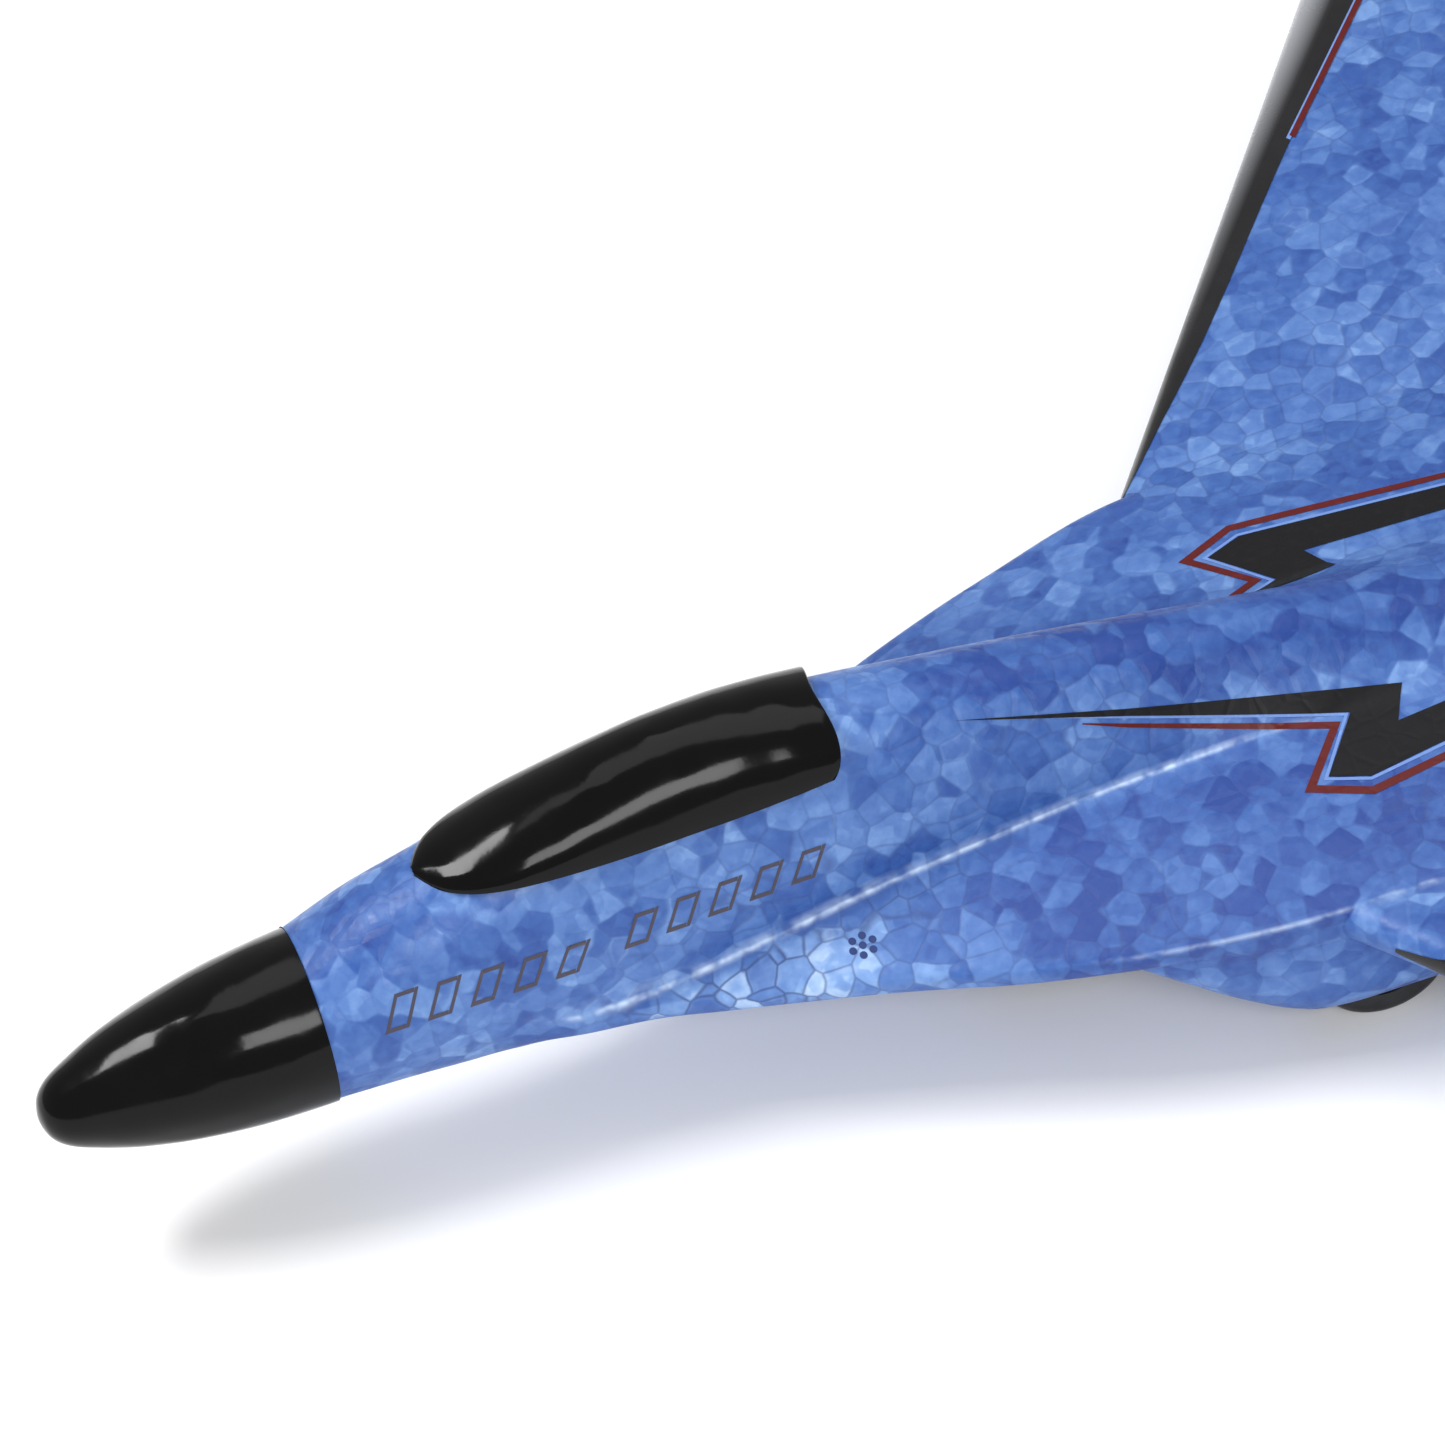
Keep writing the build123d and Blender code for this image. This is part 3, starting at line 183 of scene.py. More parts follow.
def eased(knots, values, at):
    """Monotone cubic through the knots, so that no bulge is added between them."""
    knots = np.asarray(knots, float)
    values = np.asarray(values, float).reshape(len(knots), -1)
    at = np.asarray(at, float)
    gap = np.diff(knots)
    rise = np.diff(values, axis=0) / gap[:, None]
    slope = np.zeros_like(values)
    slope[0], slope[-1] = rise[0], rise[-1]
    for i in range(1, len(knots) - 1):
        w0, w1 = 2 * gap[i] + gap[i - 1], gap[i] + 2 * gap[i - 1]
        same = rise[i - 1] * rise[i] > 0
        safe0 = np.where(same, rise[i - 1], 1.0)
        safe1 = np.where(same, rise[i], 1.0)
        slope[i] = np.where(same, (w0 + w1) / (w0 / safe0 + w1 / safe1), 0.0)
    i = np.clip(np.searchsorted(knots, at, side="right") - 1, 0, len(knots) - 2)
    h = gap[i][:, None]
    t = ((at - knots[i]) / gap[i])[:, None]
    t = np.clip(t, 0.0, 1.0)
    a = (1 + 2 * t) * (1 - t) ** 2
    b = t * (1 - t) ** 2
    c = t * t * (3 - 2 * t)
    d = t * t * (t - 1)
    return a * values[i] + b * h * slope[i] + c * values[i + 1] + d * h * slope[i + 1]


def arc_through(points, counts, start_tangent):
    """Smooth curve through points: chord-length Catmull-Rom with a given direction at the start."""
    p = np.asarray(points, float)
    h = np.linalg.norm(np.diff(p, axis=0), axis=1)
    slope = np.zeros_like(p)
    slope[0] = start_tangent
    slope[-1] = (p[-1] - p[-2]) / h[-1]
    for i in range(1, len(p) - 1):
        before, after = (p[i] - p[i - 1]) / h[i - 1], (p[i + 1] - p[i]) / h[i]
        slope[i] = (before * h[i] + after * h[i - 1]) / (h[i] + h[i - 1])
    out = []
    for i, count in enumerate(counts):
        for k in range(count):
            t = k / count
            out.append((1 + 2 * t) * (1 - t) ** 2 * p[i] + t * (1 - t) ** 2 * h[i] * slope[i]
                       + t * t * (3 - 2 * t) * p[i + 1] + t * t * (t - 1) * h[i] * slope[i + 1])
    return out


def rounded(a, p, b, radius, steps=5):
    """Points of a corner p, rounded towards its neighbours a and b."""
    la, lb = np.linalg.norm(a - p), np.linalg.norm(b - p)
    da = min(radius, 0.45 * la) / max(la, 1e-9)
    db = min(radius, 0.45 * lb) / max(lb, 1e-9)
    s, e = p + (a - p) * da, p + (b - p) * db
    return [(1 - t) ** 2 * s + 2 * t * (1 - t) * p + t * t * e for t in np.linspace(0, 1, steps)]


def add_piece(name, mesh, body="airframe", finish=None, material=None, angle=40.0):
    """The object of a mesh, riding on a body, smooth except at edges sharper than angle."""
    mesh.polygons.foreach_set("use_smooth", [True] * len(mesh.polygons))
    if angle:
        mesh.set_sharp_from_angle(angle=radians(angle))
    if material:
        mesh.materials.append(material)
    obj = bpy.data.objects.new(name, mesh)
    bpy.context.scene.collection.objects.link(obj)
    if body:
        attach(obj, body)
    return obj


def build(name, points, faces, merge=True, **options):
    """A piece from datum points, with outward normals."""
    mesh = bpy.data.meshes.new(name)
    mesh.from_pydata([tuple(p) for p in metres(points)], [], faces)
    bm = bmesh.new()
    bm.from_mesh(mesh)
    if merge:
        bmesh.ops.remove_doubles(bm, verts=bm.verts, dist=1e-6)
    bmesh.ops.recalc_face_normals(bm, faces=bm.faces)
    bm.to_mesh(mesh)
    bm.free()
    return add_piece(name, mesh, **options)


def ring_faces(rows, columns, closed=True, caps=True):
    """Quads between rows of a lofted grid, with an end face on each side if wanted."""
    faces = []
    span = columns if closed else columns - 1
    for i in range(rows - 1):
        for j in range(span):
            k = (j + 1) % columns
            faces.append((i * columns + j, i * columns + k, (i + 1) * columns + k, (i + 1) * columns + j))
    if caps:
        faces.append(tuple(range(columns)))
        faces.append(tuple(reversed(range((rows - 1) * columns, rows * columns))))
    return faces


def loft(name, rings, **options):
    rings = np.asarray(rings, float)
    rows, columns = rings.shape[:2]
    return build(name, rings.reshape(-1, 3), ring_faces(rows, columns), **options)


# ---------------------------------------- shapes of the foam moulding

def half_outline(section):
    """Starboard half of a body section, from crown to keel, with rounded corners."""
    p = [np.array(q, float) for q in section]
    upper = arc_through(p[:6], (7, 7, 7, 6, 5), (1.0, 0.0))
    before = upper[-1]
    points = upper[:-1] + rounded(before, p[5], p[6], CREASE_RADIUS, 6)
    for i in range(6, 11):
        here = rounded(p[i - 1], p[i], p[i + 1], CORNER_RADII[i])
        span = here[0] - points[-1]
        points += [points[-1] + span * t for t in (0.25, 0.5, 0.75)]
        points += here
    points += [points[-1] + (p[11] - points[-1]) * t for t in (0.25, 0.5, 0.75, 1.0)]
    return points


def body_rings():
    xs = [x for x, _ in BODY]
    table = [[v for point in section for v in point] for _, section in BODY]
    count = int((xs[-1] - xs[0]) / STATION_STEP)
    at = np.linspace(xs[0], xs[-1], count)
    rings = []
    for x, row in zip(at, eased(xs, table, at)):
        half = half_outline(row.reshape(12, 2))
        right = [(x, y, z) for y, z in half]
        left = [(x, -y, z) for y, z in reversed(half[1:-1])]
        rings.append(right + left)
    return rings


def stinger_rings():
    at = np.concatenate([np.linspace(300, 340, 20), np.linspace(341, 345, 12)])
    rows = eased([r[0] for r in STINGER], [r[1:] for r in STINGER], at)
    angles = np.linspace(0, 2 * pi, 40, endpoint=False)
    return [[(x, w * sin(a), mid + h * cos(a)) for a in angles] for x, (w, mid, h) in zip(at, rows)]


def nacelle_rings(side):
    xs = [r[0] for r in NACELLE]
    rear = [320.0, 320.6, 321.2, 321.7, 322.0]
    at = np.concatenate([np.arange(135, 166, 1.0), np.arange(168, 320, 3.0), rear])
    rings = []
    for x, (centre, w, top, bottom, radius) in zip(at, eased(xs, [r[1:] for r in NACELLE], at)):
        ring = [(centre - w, top), (centre, top), (centre + w, top)]
        ring += [(centre + w, top + (bottom + radius - top) * t) for t in (0.33, 0.66)]
        for k in range(11):
            a = pi / 2 * k / 10
            ring.append((centre + w - radius + radius * cos(a), bottom + radius - radius * sin(a)))
        for k in range(11):
            a = pi / 2 * k / 10
            ring.append((centre - w + radius - radius * sin(a), bottom + radius - radius * cos(a)))
        ring += [(centre - w, bottom + radius + (top - bottom - radius) * t) for t in (0.33, 0.66)]
        rings.append([(x, y * side, z) for y, z in ring])
    return rings


def nozzle_rings(side):
    """Shallow oval hollow pressed into the rear end of a nacelle."""
    angles = np.linspace(0, 2 * pi, 48, endpoint=False)
    rings = []
    for x, share in NOZZLE_STEPS:
        w, h = NOZZLE_HALF_WIDTH * share, NOZZLE_HALF_HEIGHT * share
        rings.append([(x, (NOZZLE_Y + w * sin(a)) * side, NOZZLE_Z + h * cos(a)) for a in angles])
    return rings


def wing_edges(y):
    return WING_ROOT_LE + LE_SLOPE * (y - WING_ROOT_Y), WING_ROOT_TE + TE_SLOPE * (y - WING_ROOT_Y)


def wing_ring(y, skin=0.0):
    """Aerofoil at span station y as (x, z): from the trailing edge over the top to the underside."""
    ys = [s[0] for s in WING_STATIONS]
    le_in, te_in, share = eased(ys, [s[1:] for s in WING_STATIONS], [y])[0]
    le, te = wing_edges(y)
    le, te = le + le_in - skin, te - te_in + skin
    span = (y - WING_ROOT_Y) / (HALF_SPAN - WING_ROOT_Y)
    top = WING_TOP[0] + (WING_TOP[1] - WING_TOP[0]) * span
    bottom = WING_BOTTOM[0] + (WING_BOTTOM[1] - WING_BOTTOM[0]) * span
    mid, half = (top + bottom) / 2, (top - bottom) / 2 * share + skin
    tail = TE_THICKNESS / 2 * share + skin
    chord = te - le
    ease = min(max((y - WING_ROOT_Y) / 18.0, 0.0), 1.0)
    crown = WING_CROWN * share * (0.35 + 0.65 * ease * ease * (3 - 2 * ease))
    nose = 1.2 * half
    crest = 0.3 * chord
    stations = np.concatenate([np.linspace(nose, crest, 9), np.linspace(crest, chord - 0.5, 16)[1:]])
    over = eased([nose, crest, 0.65 * chord, chord],
                 [half, half + crown, 0.72 * half + crown, 0.3 + tail], stations)[:, 0]
    under = eased([nose, 0.6 * chord, chord], [-half, -half + 0.9 * share, 0.3 - tail], stations)[:, 0]
    upper = [(te, mid + 0.3 + 0.35 * tail), (te - 0.16, mid + 0.3 + 0.8 * tail)]
    upper += [(le + s, mid + z) for s, z in zip(stations[::-1], over[::-1])]
    lead = [(le + nose * (1 - sin(a)), mid + half * cos(a)) for a in np.linspace(0, pi, 25)[1:-1]]
    lower = [(le + s, mid + z) for s, z in zip(stations, under)]
    lower += [(te - 0.16, mid + 0.3 - 0.8 * tail), (te, mid + 0.3 - 0.35 * tail)]
    return upper + lead + lower


def wing_rings(side):
    inner = np.linspace(35.0, 134.0, 50)
    outer = np.linspace(135.0, 148.0, 12)
    tip = np.linspace(148.3, 150.0, 8)
    ys = np.concatenate([inner, outer, tip])
    return [[(x, y * side, z) for x, z in wing_ring(y)] for y in ys]


def slab(box, side=1.0):
    """A box of lowest and highest x, y and z, on either side, as two rings ready for loft()."""
    x0, x1, inner, outer, z0, z1 = box
    y0, y1 = sorted((side * inner, side * outer))
    return [[(x, y0, z0), (x, y1, z0), (x, y1, z1), (x, y0, z1)] for x in (x0, x1)]


def boolean(target, tool, operation):
    change = target.modifiers.new(operation, "BOOLEAN")
    change.operation = operation
    change.solver = "EXACT"
    change.object = tool


def make_foam_body(material):
    """Fuselage, nacelles, wings and tail stinger joined into one moulding, with its wells cut out."""
    body = loft("foam_body_skin", body_rings(), finish="blue_foam", material=material)
    tools = []

    def use(rings, operation):
        tool = loft("tool", rings, body=None)
        boolean(body, tool, operation)
        tools.append(tool)

    use(stinger_rings(), "UNION")
    for side in SIDES.values():
        use(nacelle_rings(side), "UNION")
        use(wing_rings(side), "UNION")
    use(slab(PAD_CUT), "DIFFERENCE")
    use(slab(TRAY_WELL), "DIFFERENCE")
    for side in SIDES.values():
        use(nozzle_rings(side), "DIFFERENCE")
        use(slab(WHEEL_WELL, side), "DIFFERENCE")
        use(slab(MOTOR_NOTCH, side), "DIFFERENCE")
    bpy.context.view_layer.update()
    shaped = bpy.data.meshes.new_from_object(body.evaluated_get(bpy.context.evaluated_depsgraph_get()))
    body.modifiers.clear()
    body.data = shaped
    for tool in tools:
        bpy.data.objects.remove(tool)
    shaped.polygons.foreach_set("use_smooth", [True] * len(shaped.polygons))
    shaped.set_sharp_from_angle(angle=radians(32))
    mark_foam(shaped)
    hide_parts("foam_body")
    return body


def fade(values, none, full):
    """0 where a value is at none, 1 where it is at full, and straight between."""
    return np.clip((values - none) / (full - none), 0, 1)


def mark_foam(mesh):
    """Vertex values for the material: a painted highlight along the crease and the rim, painted light on
    the front of the strake top, and painted shade on the spine and at the wing roots, stronger on the port
    side.
    """
    co = np.array([v.co for v in mesh.vertices]) * 1000 - ORIGIN
    x, y, z = co[:, 0], np.abs(co[:, 1]), co[:, 2]
    xs = [row[0] for row in BODY]
    crease = eased(xs, [section[CREASE_POINT] for _, section in BODY], x)
    rim = eased(xs, [section[RIM_POINT] for _, section in BODY], x)
    left = co[:, 1] < 0
    # A painted highlight: a pale glint line along the crease between flank and strake and along the
    # strake's rim, running further aft on the port side.
    spread = 0.13 + 0.2 * fade(x, 122, 92)
    near_crease = np.exp(-((y - crease[:, 0]) ** 2 + (z - crease[:, 1]) ** 2) / spread)
    near_rim = np.exp(-((y - rim[:, 0]) ** 2 + (z - rim[:, 1]) ** 2) / 0.16)
    rim_end = np.where(left, 204.0, 158.0)
    ridge_highlight = near_crease * fade(x, 62, 74) * fade(x, 172, 150)
    ridge_highlight += 1.3 * near_rim * fade(x, 130, 142) * fade(x, rim_end, rim_end - 12)
    outer = fade(y - crease[:, 0], 0.3, 2.3) * fade(z, -8, -6)
    # Painted light: the front of the strake top made lighter, as if it faced the lamps more.
    clear = outer * fade(x, 62, 74) * fade(x, 126, 96)
    # Painted shade: the top of the spine and the wing roots made darker, the starboard root only a fifth as
    # much as the port one.
    spine_shade = fade(y, 9, 5) * fade(x, 112, 128) * fade(z, 2, 4)
    root = outer * fade(x, 112, 130) * fade(x, 205, 175) * fade(y, 44, 40)
    painted_shade = np.clip(spine_shade + root * np.where(left, 1.0, 0.2), 0, 1)
    for name, values in (("ridge_highlight", ridge_highlight), ("clear", clear), ("painted_shade", painted_shade)):
        mesh.attributes.new(name, "FLOAT", "POINT").data.foreach_set("value", values.astype(np.float32))


# ---------------------------------------- materials

BEAD_SCALE = 270.0
BEAD_SCATTER = 0.84


def srgb(r, g, b):
    """Linear colour from 8-bit display values."""
    out = []
    for v in (r, g, b):
        v = v / 255
        out.append(v / 12.92 if v <= 0.04045 else ((v + 0.055) / 1.055) ** 2.4)
    return (*out, 1.0)


class Nodes:
    """Short hand for building one material's node tree."""

    def __init__(self, name):
        self.material = bpy.data.materials.new(name)
        self.material.use_nodes = True
        self.tree = self.material.node_tree
        self.shader = self.tree.nodes["Principled BSDF"]
        self.place = self.add("ShaderNodeTexCoord").outputs["Object"]

    def add(self, kind, inputs=None, **settings):
        node = self.tree.nodes.new(kind)
        for key, value in settings.items():
            setattr(node, key, value)
        for key, value in (inputs or {}).items():
            self.feed(node.inputs[key], value)
        return node

    def feed(self, socket, value):
        if isinstance(value, bpy.types.NodeSocket):
            self.tree.links.new(value, socket)
        else:
            socket.default_value = value

    def math(self, operation, a, b=0.0, clamp=False):
        node = self.add("ShaderNodeMath", {0: a, 1: b}, operation=operation)
        node.use_clamp = clamp
        return node.outputs[0]

    def noise(self, scale, detail=2.0, rough=0.5, vector=None):
        return self.add("ShaderNodeTexNoise", {"Vector": vector or self.place, "Scale": scale,
                                               "Detail": detail, "Roughness": rough})

    def cells(self, scale, feature="F1", vector=None, randomness=1.0):
        return self.add("ShaderNodeTexVoronoi", {"Vector": vector or self.place, "Scale": scale,
                                                 "Randomness": randomness}, feature=feature)

    def ramp(self, value, stops):
        node = self.add("ShaderNodeValToRGB", {"Fac": value})
        elements = node.color_ramp.elements
        while len(elements) < len(stops):
            elements.new(0.5)
        for element, (position, colour) in zip(elements, stops):
            element.position = position
            element.color = colour
        return node.outputs["Color"]

    def spread(self, value, low, high, to_low=0.0, to_high=1.0):
        return self.add("ShaderNodeMapRange", {"Value": value, "From Min": low, "From Max": high,
                                               "To Min": to_low, "To Max": to_high}).outputs["Result"]

    def mix(self, share, a, b):
        node = self.add("ShaderNodeMix", data_type="RGBA")
        self.feed(node.inputs["Factor"], share)
        self.feed(node.inputs[6], a)
        self.feed(node.inputs[7], b)
        return node.outputs[2]

    def bump(self, height, strength, distance):
        node = self.add("ShaderNodeBump", {"Height": height, "Strength": strength, "Distance": distance})
        self.feed(self.shader.inputs["Normal"], node.outputs["Normal"])

    def set(self, **values):
        for key, value in values.items():
            self.feed(self.shader.inputs[key.replace("_", " ")], value)


def foam_material():
    """Moulded bead foam: rounded pressed cells of uneven tone and thin seams, with a painted highlight
    along the ridges, painted light on the front of the strake top and painted shade on the spine and roots.
    """
    m = Nodes("bead_foam")
    wander = m.noise(300, 1.0)
    bent = m.add("ShaderNodeVectorMath", operation="MULTIPLY_ADD")
    m.feed(bent.inputs[0], wander.outputs["Color"])
    m.feed(bent.inputs[1], (0.0008, 0.0008, 0.0008))
    m.feed(bent.inputs[2], m.place)
    place = bent.outputs[0]
    beads = m.add("ShaderNodeTexVoronoi", {"Vector": place, "Scale": BEAD_SCALE, "Smoothness": 0.22,
                                           "Randomness": BEAD_SCATTER}, feature="SMOOTH_F1")
    plain = m.cells(BEAD_SCALE, vector=place, randomness=BEAD_SCATTER)
    edge = m.cells(BEAD_SCALE, "DISTANCE_TO_EDGE", place, BEAD_SCATTER).outputs["Distance"]
    small = m.add("ShaderNodeTexVoronoi", {"Vector": place, "Scale": BEAD_SCALE * 2.1, "Smoothness": 0.3},
                  feature="SMOOTH_F1")
    # Vertex values from mark_foam: a painted highlight line, painted light and painted shade.
    ridge_highlight = m.add("ShaderNodeAttribute", attribute_name="ridge_highlight").outputs["Fac"]
    clear = m.add("ShaderNodeAttribute", attribute_name="clear").outputs["Fac"]
    painted_shade = m.add("ShaderNodeAttribute", attribute_name="painted_shade").outputs["Fac"]
    tone = m.add("ShaderNodeSeparateColor", {"Color": beads.outputs["Color"]}).outputs[0]
    fleck = m.add("ShaderNodeSeparateColor", {"Color": small.outputs["Color"]}).outputs[0]
    rare = m.add("ShaderNodeSeparateColor", {"Color": plain.outputs["Color"]}).outputs[1]
    cloud = m.noise(60, 3.0, 0.6).outputs["Fac"]
    swirl = m.noise(520, 2.0, 0.5).outputs["Fac"]
    value = m.math("ADD", m.math("MULTIPLY", tone, 0.43), m.math("MULTIPLY", fleck, 0.15))
    value = m.math("ADD", value, m.math("MULTIPLY", m.spread(swirl, 0.3, 0.7), 0.14))
    value = m.math("ADD", value, m.math("MULTIPLY", m.spread(cloud, 0.3, 0.7), 0.18))
    # The next two lines add painted light on the strake top and take away painted shade on the spine and
    # roots.
    value = m.math("ADD", value, m.math("MULTIPLY", clear, 0.36))
    value = m.math("SUBTRACT", value, m.math("MULTIPLY", painted_shade, 0.25))
    colour = m.ramp(value, [(0.06, srgb(26, 61, 136)), (0.34, srgb(52, 91, 160)),
                            (0.60, srgb(82, 119, 181)), (0.82, srgb(116, 152, 205)),
                            (1.0, srgb(166, 192, 226))])
    seam = m.spread(edge, 0.0, 0.07, 1.0, 0.0)
    patch = m.spread(m.noise(30, 2.0).outputs["Fac"], 0.42, 0.62, 0.05, 0.34)
    # The bead seams are real dark joints; they are drawn stronger where the painted light lies.
    patch = m.math("ADD", patch, m.math("MULTIPLY", clear, 0.55), clamp=True)
    colour = m.mix(m.math("MULTIPLY", seam, patch), colour, srgb(38, 56, 108))
    sunken = m.math("MULTIPLY", m.spread(rare, 0.93, 0.96), m.spread(edge, 0.0, 0.12, 0.0, 0.5))
    colour = m.mix(sunken, colour, srgb(34, 70, 146))
    # Painted highlight: a broken pale glint along the crease and rim lines.
    broken = m.spread(m.noise(330, 2.0).outputs["Fac"], 0.38, 0.60, 0.12, 1.0)
    glint = m.math("MULTIPLY", ridge_highlight, broken, clamp=True)
    colour = m.mix(m.math("MULTIPLY", glint, 0.9), colour, srgb(206, 226, 250))
    m.set(Base_Color=colour, Roughness=m.spread(m.noise(900, 2.0).outputs["Fac"], 0.3, 0.7, 0.36, 0.52))
    m.shader.inputs["Specular IOR Level"].default_value = 0.4
    dome = m.spread(edge, 0.0, 0.22)
    grain = m.noise(2200, 2.0).outputs["Fac"]
    height = m.math("ADD", m.math("MULTIPLY", dome, 0.8), m.math("MULTIPLY", grain, 0.16))
    m.bump(height, 0.45, 0.00020)
    return m.material


def gloss_material(name, colour, rough, speck, gloss=0.3, wave=0.0006, painted_edge_sheen=False):
    """Glossy black with faint smudges and a slightly wavy surface, and if asked a painted sheen of pale
    grey from a vertex value.
    """
    m = Nodes(name)
    smudge = m.noise(90, 4.0, 0.6).outputs["Fac"]
    fine = m.noise(1500, 2.0).outputs["Fac"]
    lighter = tuple(c * 1.5 for c in colour[:3]) + (1.0,)
    tone = m.mix(m.spread(smudge, 0.35, 0.7, 0.0, 1.0), colour, lighter)
    # Painted sheen: the colour goes pale grey where the vertex value says, standing in for the reflection
    # along the tape's leading edge.
    if painted_edge_sheen:
        painted_sheen = m.add("ShaderNodeAttribute", attribute_name="painted_sheen").outputs["Fac"]
        tone = m.mix(painted_sheen, tone, srgb(176, 178, 184))
    broad = m.spread(smudge, 0.3, 0.75, rough, rough + 0.10)
    m.set(Base_Color=tone, Roughness=m.math("ADD", broad, m.math("MULTIPLY", fine, speck)))
    m.shader.inputs["Specular IOR Level"].default_value = gloss
    waves = m.math("MULTIPLY", m.noise(120, 1.0).outputs["Fac"], 0.8)
    m.bump(m.math("ADD", waves, m.math("MULTIPLY", fine, 0.01)), 0.5, wave)
    return m.material


def plastic_material(name, colour, rough=0.42, lighter=1.35, texture=2200):
    m = Nodes(name)
    patch = m.noise(140, 3.0, 0.6).outputs["Fac"]
    grain = m.noise(texture, 3.0, 0.6).outputs["Fac"]
    light = tuple(min(c * lighter, 1.0) for c in colour[:3]) + (1.0,)
    m.set(Base_Color=m.mix(m.spread(patch, 0.35, 0.7), colour, light),
          Roughness=m.spread(grain, 0.3, 0.7, rough - 0.06, rough + 0.10))
    m.bump(grain, 0.25, 0.00006)
    return m.material


def metal_material(name, colour, rough=0.25, stretch=(1.0, 1.0, 1.0)):
    m = Nodes(name)
    scaled = m.add("ShaderNodeVectorMath", operation="MULTIPLY")
    m.feed(scaled.inputs[0], m.place)
    m.feed(scaled.inputs[1], stretch)
    drawn = m.noise(1800, 3.0, 0.6, vector=scaled.outputs[0]).outputs["Fac"]
    dark = tuple(c * 0.78 for c in colour[:3]) + (1.0,)
    m.set(Base_Color=m.mix(m.spread(drawn, 0.3, 0.7), dark, colour),
          Roughness=m.spread(drawn, 0.3, 0.7, rough - 0.06, rough + 0.12))
    m.shader.inputs["Metallic"].default_value = 1.0
    m.bump(drawn, 0.15, 0.00003)
    return m.material


def rubber_material(name, colour, rough=0.62):
    m = Nodes(name)
    grain = m.noise(1600, 4.0, 0.65).outputs["Fac"]
    dust = m.noise(120, 3.0).outputs["Fac"]
    m.set(Base_Color=m.mix(m.spread(dust, 0.45, 0.8, 0.0, 0.5), colour, srgb(64, 62, 60)),
          Roughness=m.spread(grain, 0.3, 0.7, rough - 0.08, rough + 0.12))
    m.bump(grain, 0.35, 0.00008)
    return m.material


def board_material():
    m = Nodes("solder_mask")
    tracks = m.cells(900, feature="DISTANCE_TO_EDGE", randomness=0.15).outputs["Distance"]
    lines = m.spread(tracks, 0.05, 0.09, 1.0, 0.0)
    m.set(Base_Color=m.mix(lines, srgb(18, 92, 48), srgb(48, 132, 74)),
          Roughness=m.spread(tracks, 0.0, 0.5, 0.25, 0.4))
    m.bump(lines, 0.3, 0.00003)
    return m.material


def film_material(name, colour, rough=0.30):
    """Printed film: it follows the beads below, so its gloss breaks up at bead size."""
    m = Nodes(name)
    beads = m.cells(BEAD_SCALE, feature="DISTANCE_TO_EDGE").outputs["Distance"]
    wear = m.noise(700, 3.0, 0.6).outputs["Fac"]
    light = tuple(min(c * 1.4 + 0.005, 1.0) for c in colour[:3]) + (1.0,)
    m.shader.inputs["Specular IOR Level"].default_value = 0.2
    m.set(Base_Color=m.mix(m.spread(wear, 0.55, 0.8, 0.0, 0.7), colour, light),
          Roughness=m.spread(wear, 0.3, 0.7, rough, rough + 0.12))
    m.bump(m.spread(beads, 0.0, 0.15), 0.3, 0.0001)
    return m.material


foam = foam_material()
black_gloss = gloss_material("black_gloss_moulding", srgb(4, 4, 5), rough=0.06, speck=0.04,
                             gloss=0.17, wave=0.001)
black_film = film_material("black_film", srgb(13, 13, 16), rough=0.40)
red_film = film_material("red_film", srgb(88, 22, 20))
pale_film = film_material("pale_film", srgb(106, 136, 196))
grey_film = film_material("grey_film", srgb(70, 66, 78))
dot_film = film_material("dot_film", srgb(40, 58, 110))
tape_film = gloss_material("tape_film", srgb(22, 22, 24), rough=0.16, speck=0.08, painted_edge_sheen=True)
black_plastic = plastic_material("black_plastic", srgb(26, 26, 28))
nylon = plastic_material("white_nylon", srgb(222, 219, 208), rough=0.38, lighter=1.04)
prop_plastic = plastic_material("propeller_plastic", srgb(22, 22, 23), rough=0.28, texture=1400)
tyre_rubber = rubber_material("tyre_rubber", srgb(20, 20, 21), rough=0.40)
wire_cover = rubber_material("wire_cover", srgb(168, 24, 20), rough=0.45)
steel = metal_material("steel", (0.62, 0.62, 0.63, 1.0), 0.22)
can_steel = metal_material("drawn_steel", (0.66, 0.66, 0.67, 1.0), 0.28, (0.2, 1.0, 1.0))
nickel = metal_material("nickel", (0.66, 0.62, 0.55, 1.0), 0.2)
copper = metal_material("copper_winding", (0.75, 0.36, 0.17, 1.0), 0.3, (1.0, 0.15, 0.15))
carbon = plastic_material("carbon_rod", srgb(24, 24, 26), rough=0.35, texture=900)
board_green = board_material()
chip_black = plastic_material("chip_plastic", srgb(24, 24, 25), rough=0.5)
pouch = metal_material("pouch_foil", (0.62, 0.64, 0.66, 1.0), 0.34)
lens = plastic_material("lamp_lens", srgb(196, 30, 24), rough=0.12, lighter=1.2)
lens.node_tree.nodes["Principled BSDF"].inputs["Transmission Weight"].default_value = 0.6


# ---------------------------------------- pieces

foam_body = make_foam_body(foam)


def canopy_rings(inset):
    """Arches from front to rear. The rear edge bulges aft on its flanks and is rounded at its corners."""
    xs = [r[0] for r in CANOPY]
    at = np.concatenate([[53.4, 53.55, 53.8, 54.2], np.linspace(54.8, 107.6, 64)])
    rings = []
    for x, (width, edge, crown) in zip(at, eased(xs, [r[1:] for r in CANOPY], at)):
        w, h = max(width - inset, 0.3), max(crown - edge - inset, 0.3)
        ring = []
        for k in range(41):
            a = pi * k / 40
            z = edge + h * sin(a)
            flank = min(k, 40 - k) / 20
            crest = max(0.0, 2 * flank - 1)
            bulge = CANOPY_BULGE * sin(pi * min(flank, 0.5)) - 0.5 * crest * crest * (3 - 2 * crest)
            bulge -= CANOPY_CORNER * (1 - flank) ** 8
            lean = max(0.0, 1 - (xs[-1] - x) / CANOPY_END_LENGTH)
            back = (CANOPY_REAR_SLANT * flank - bulge) * lean
            ring.append((x - back, -w * cos(a), z))
        rings.append(ring)
    return rings


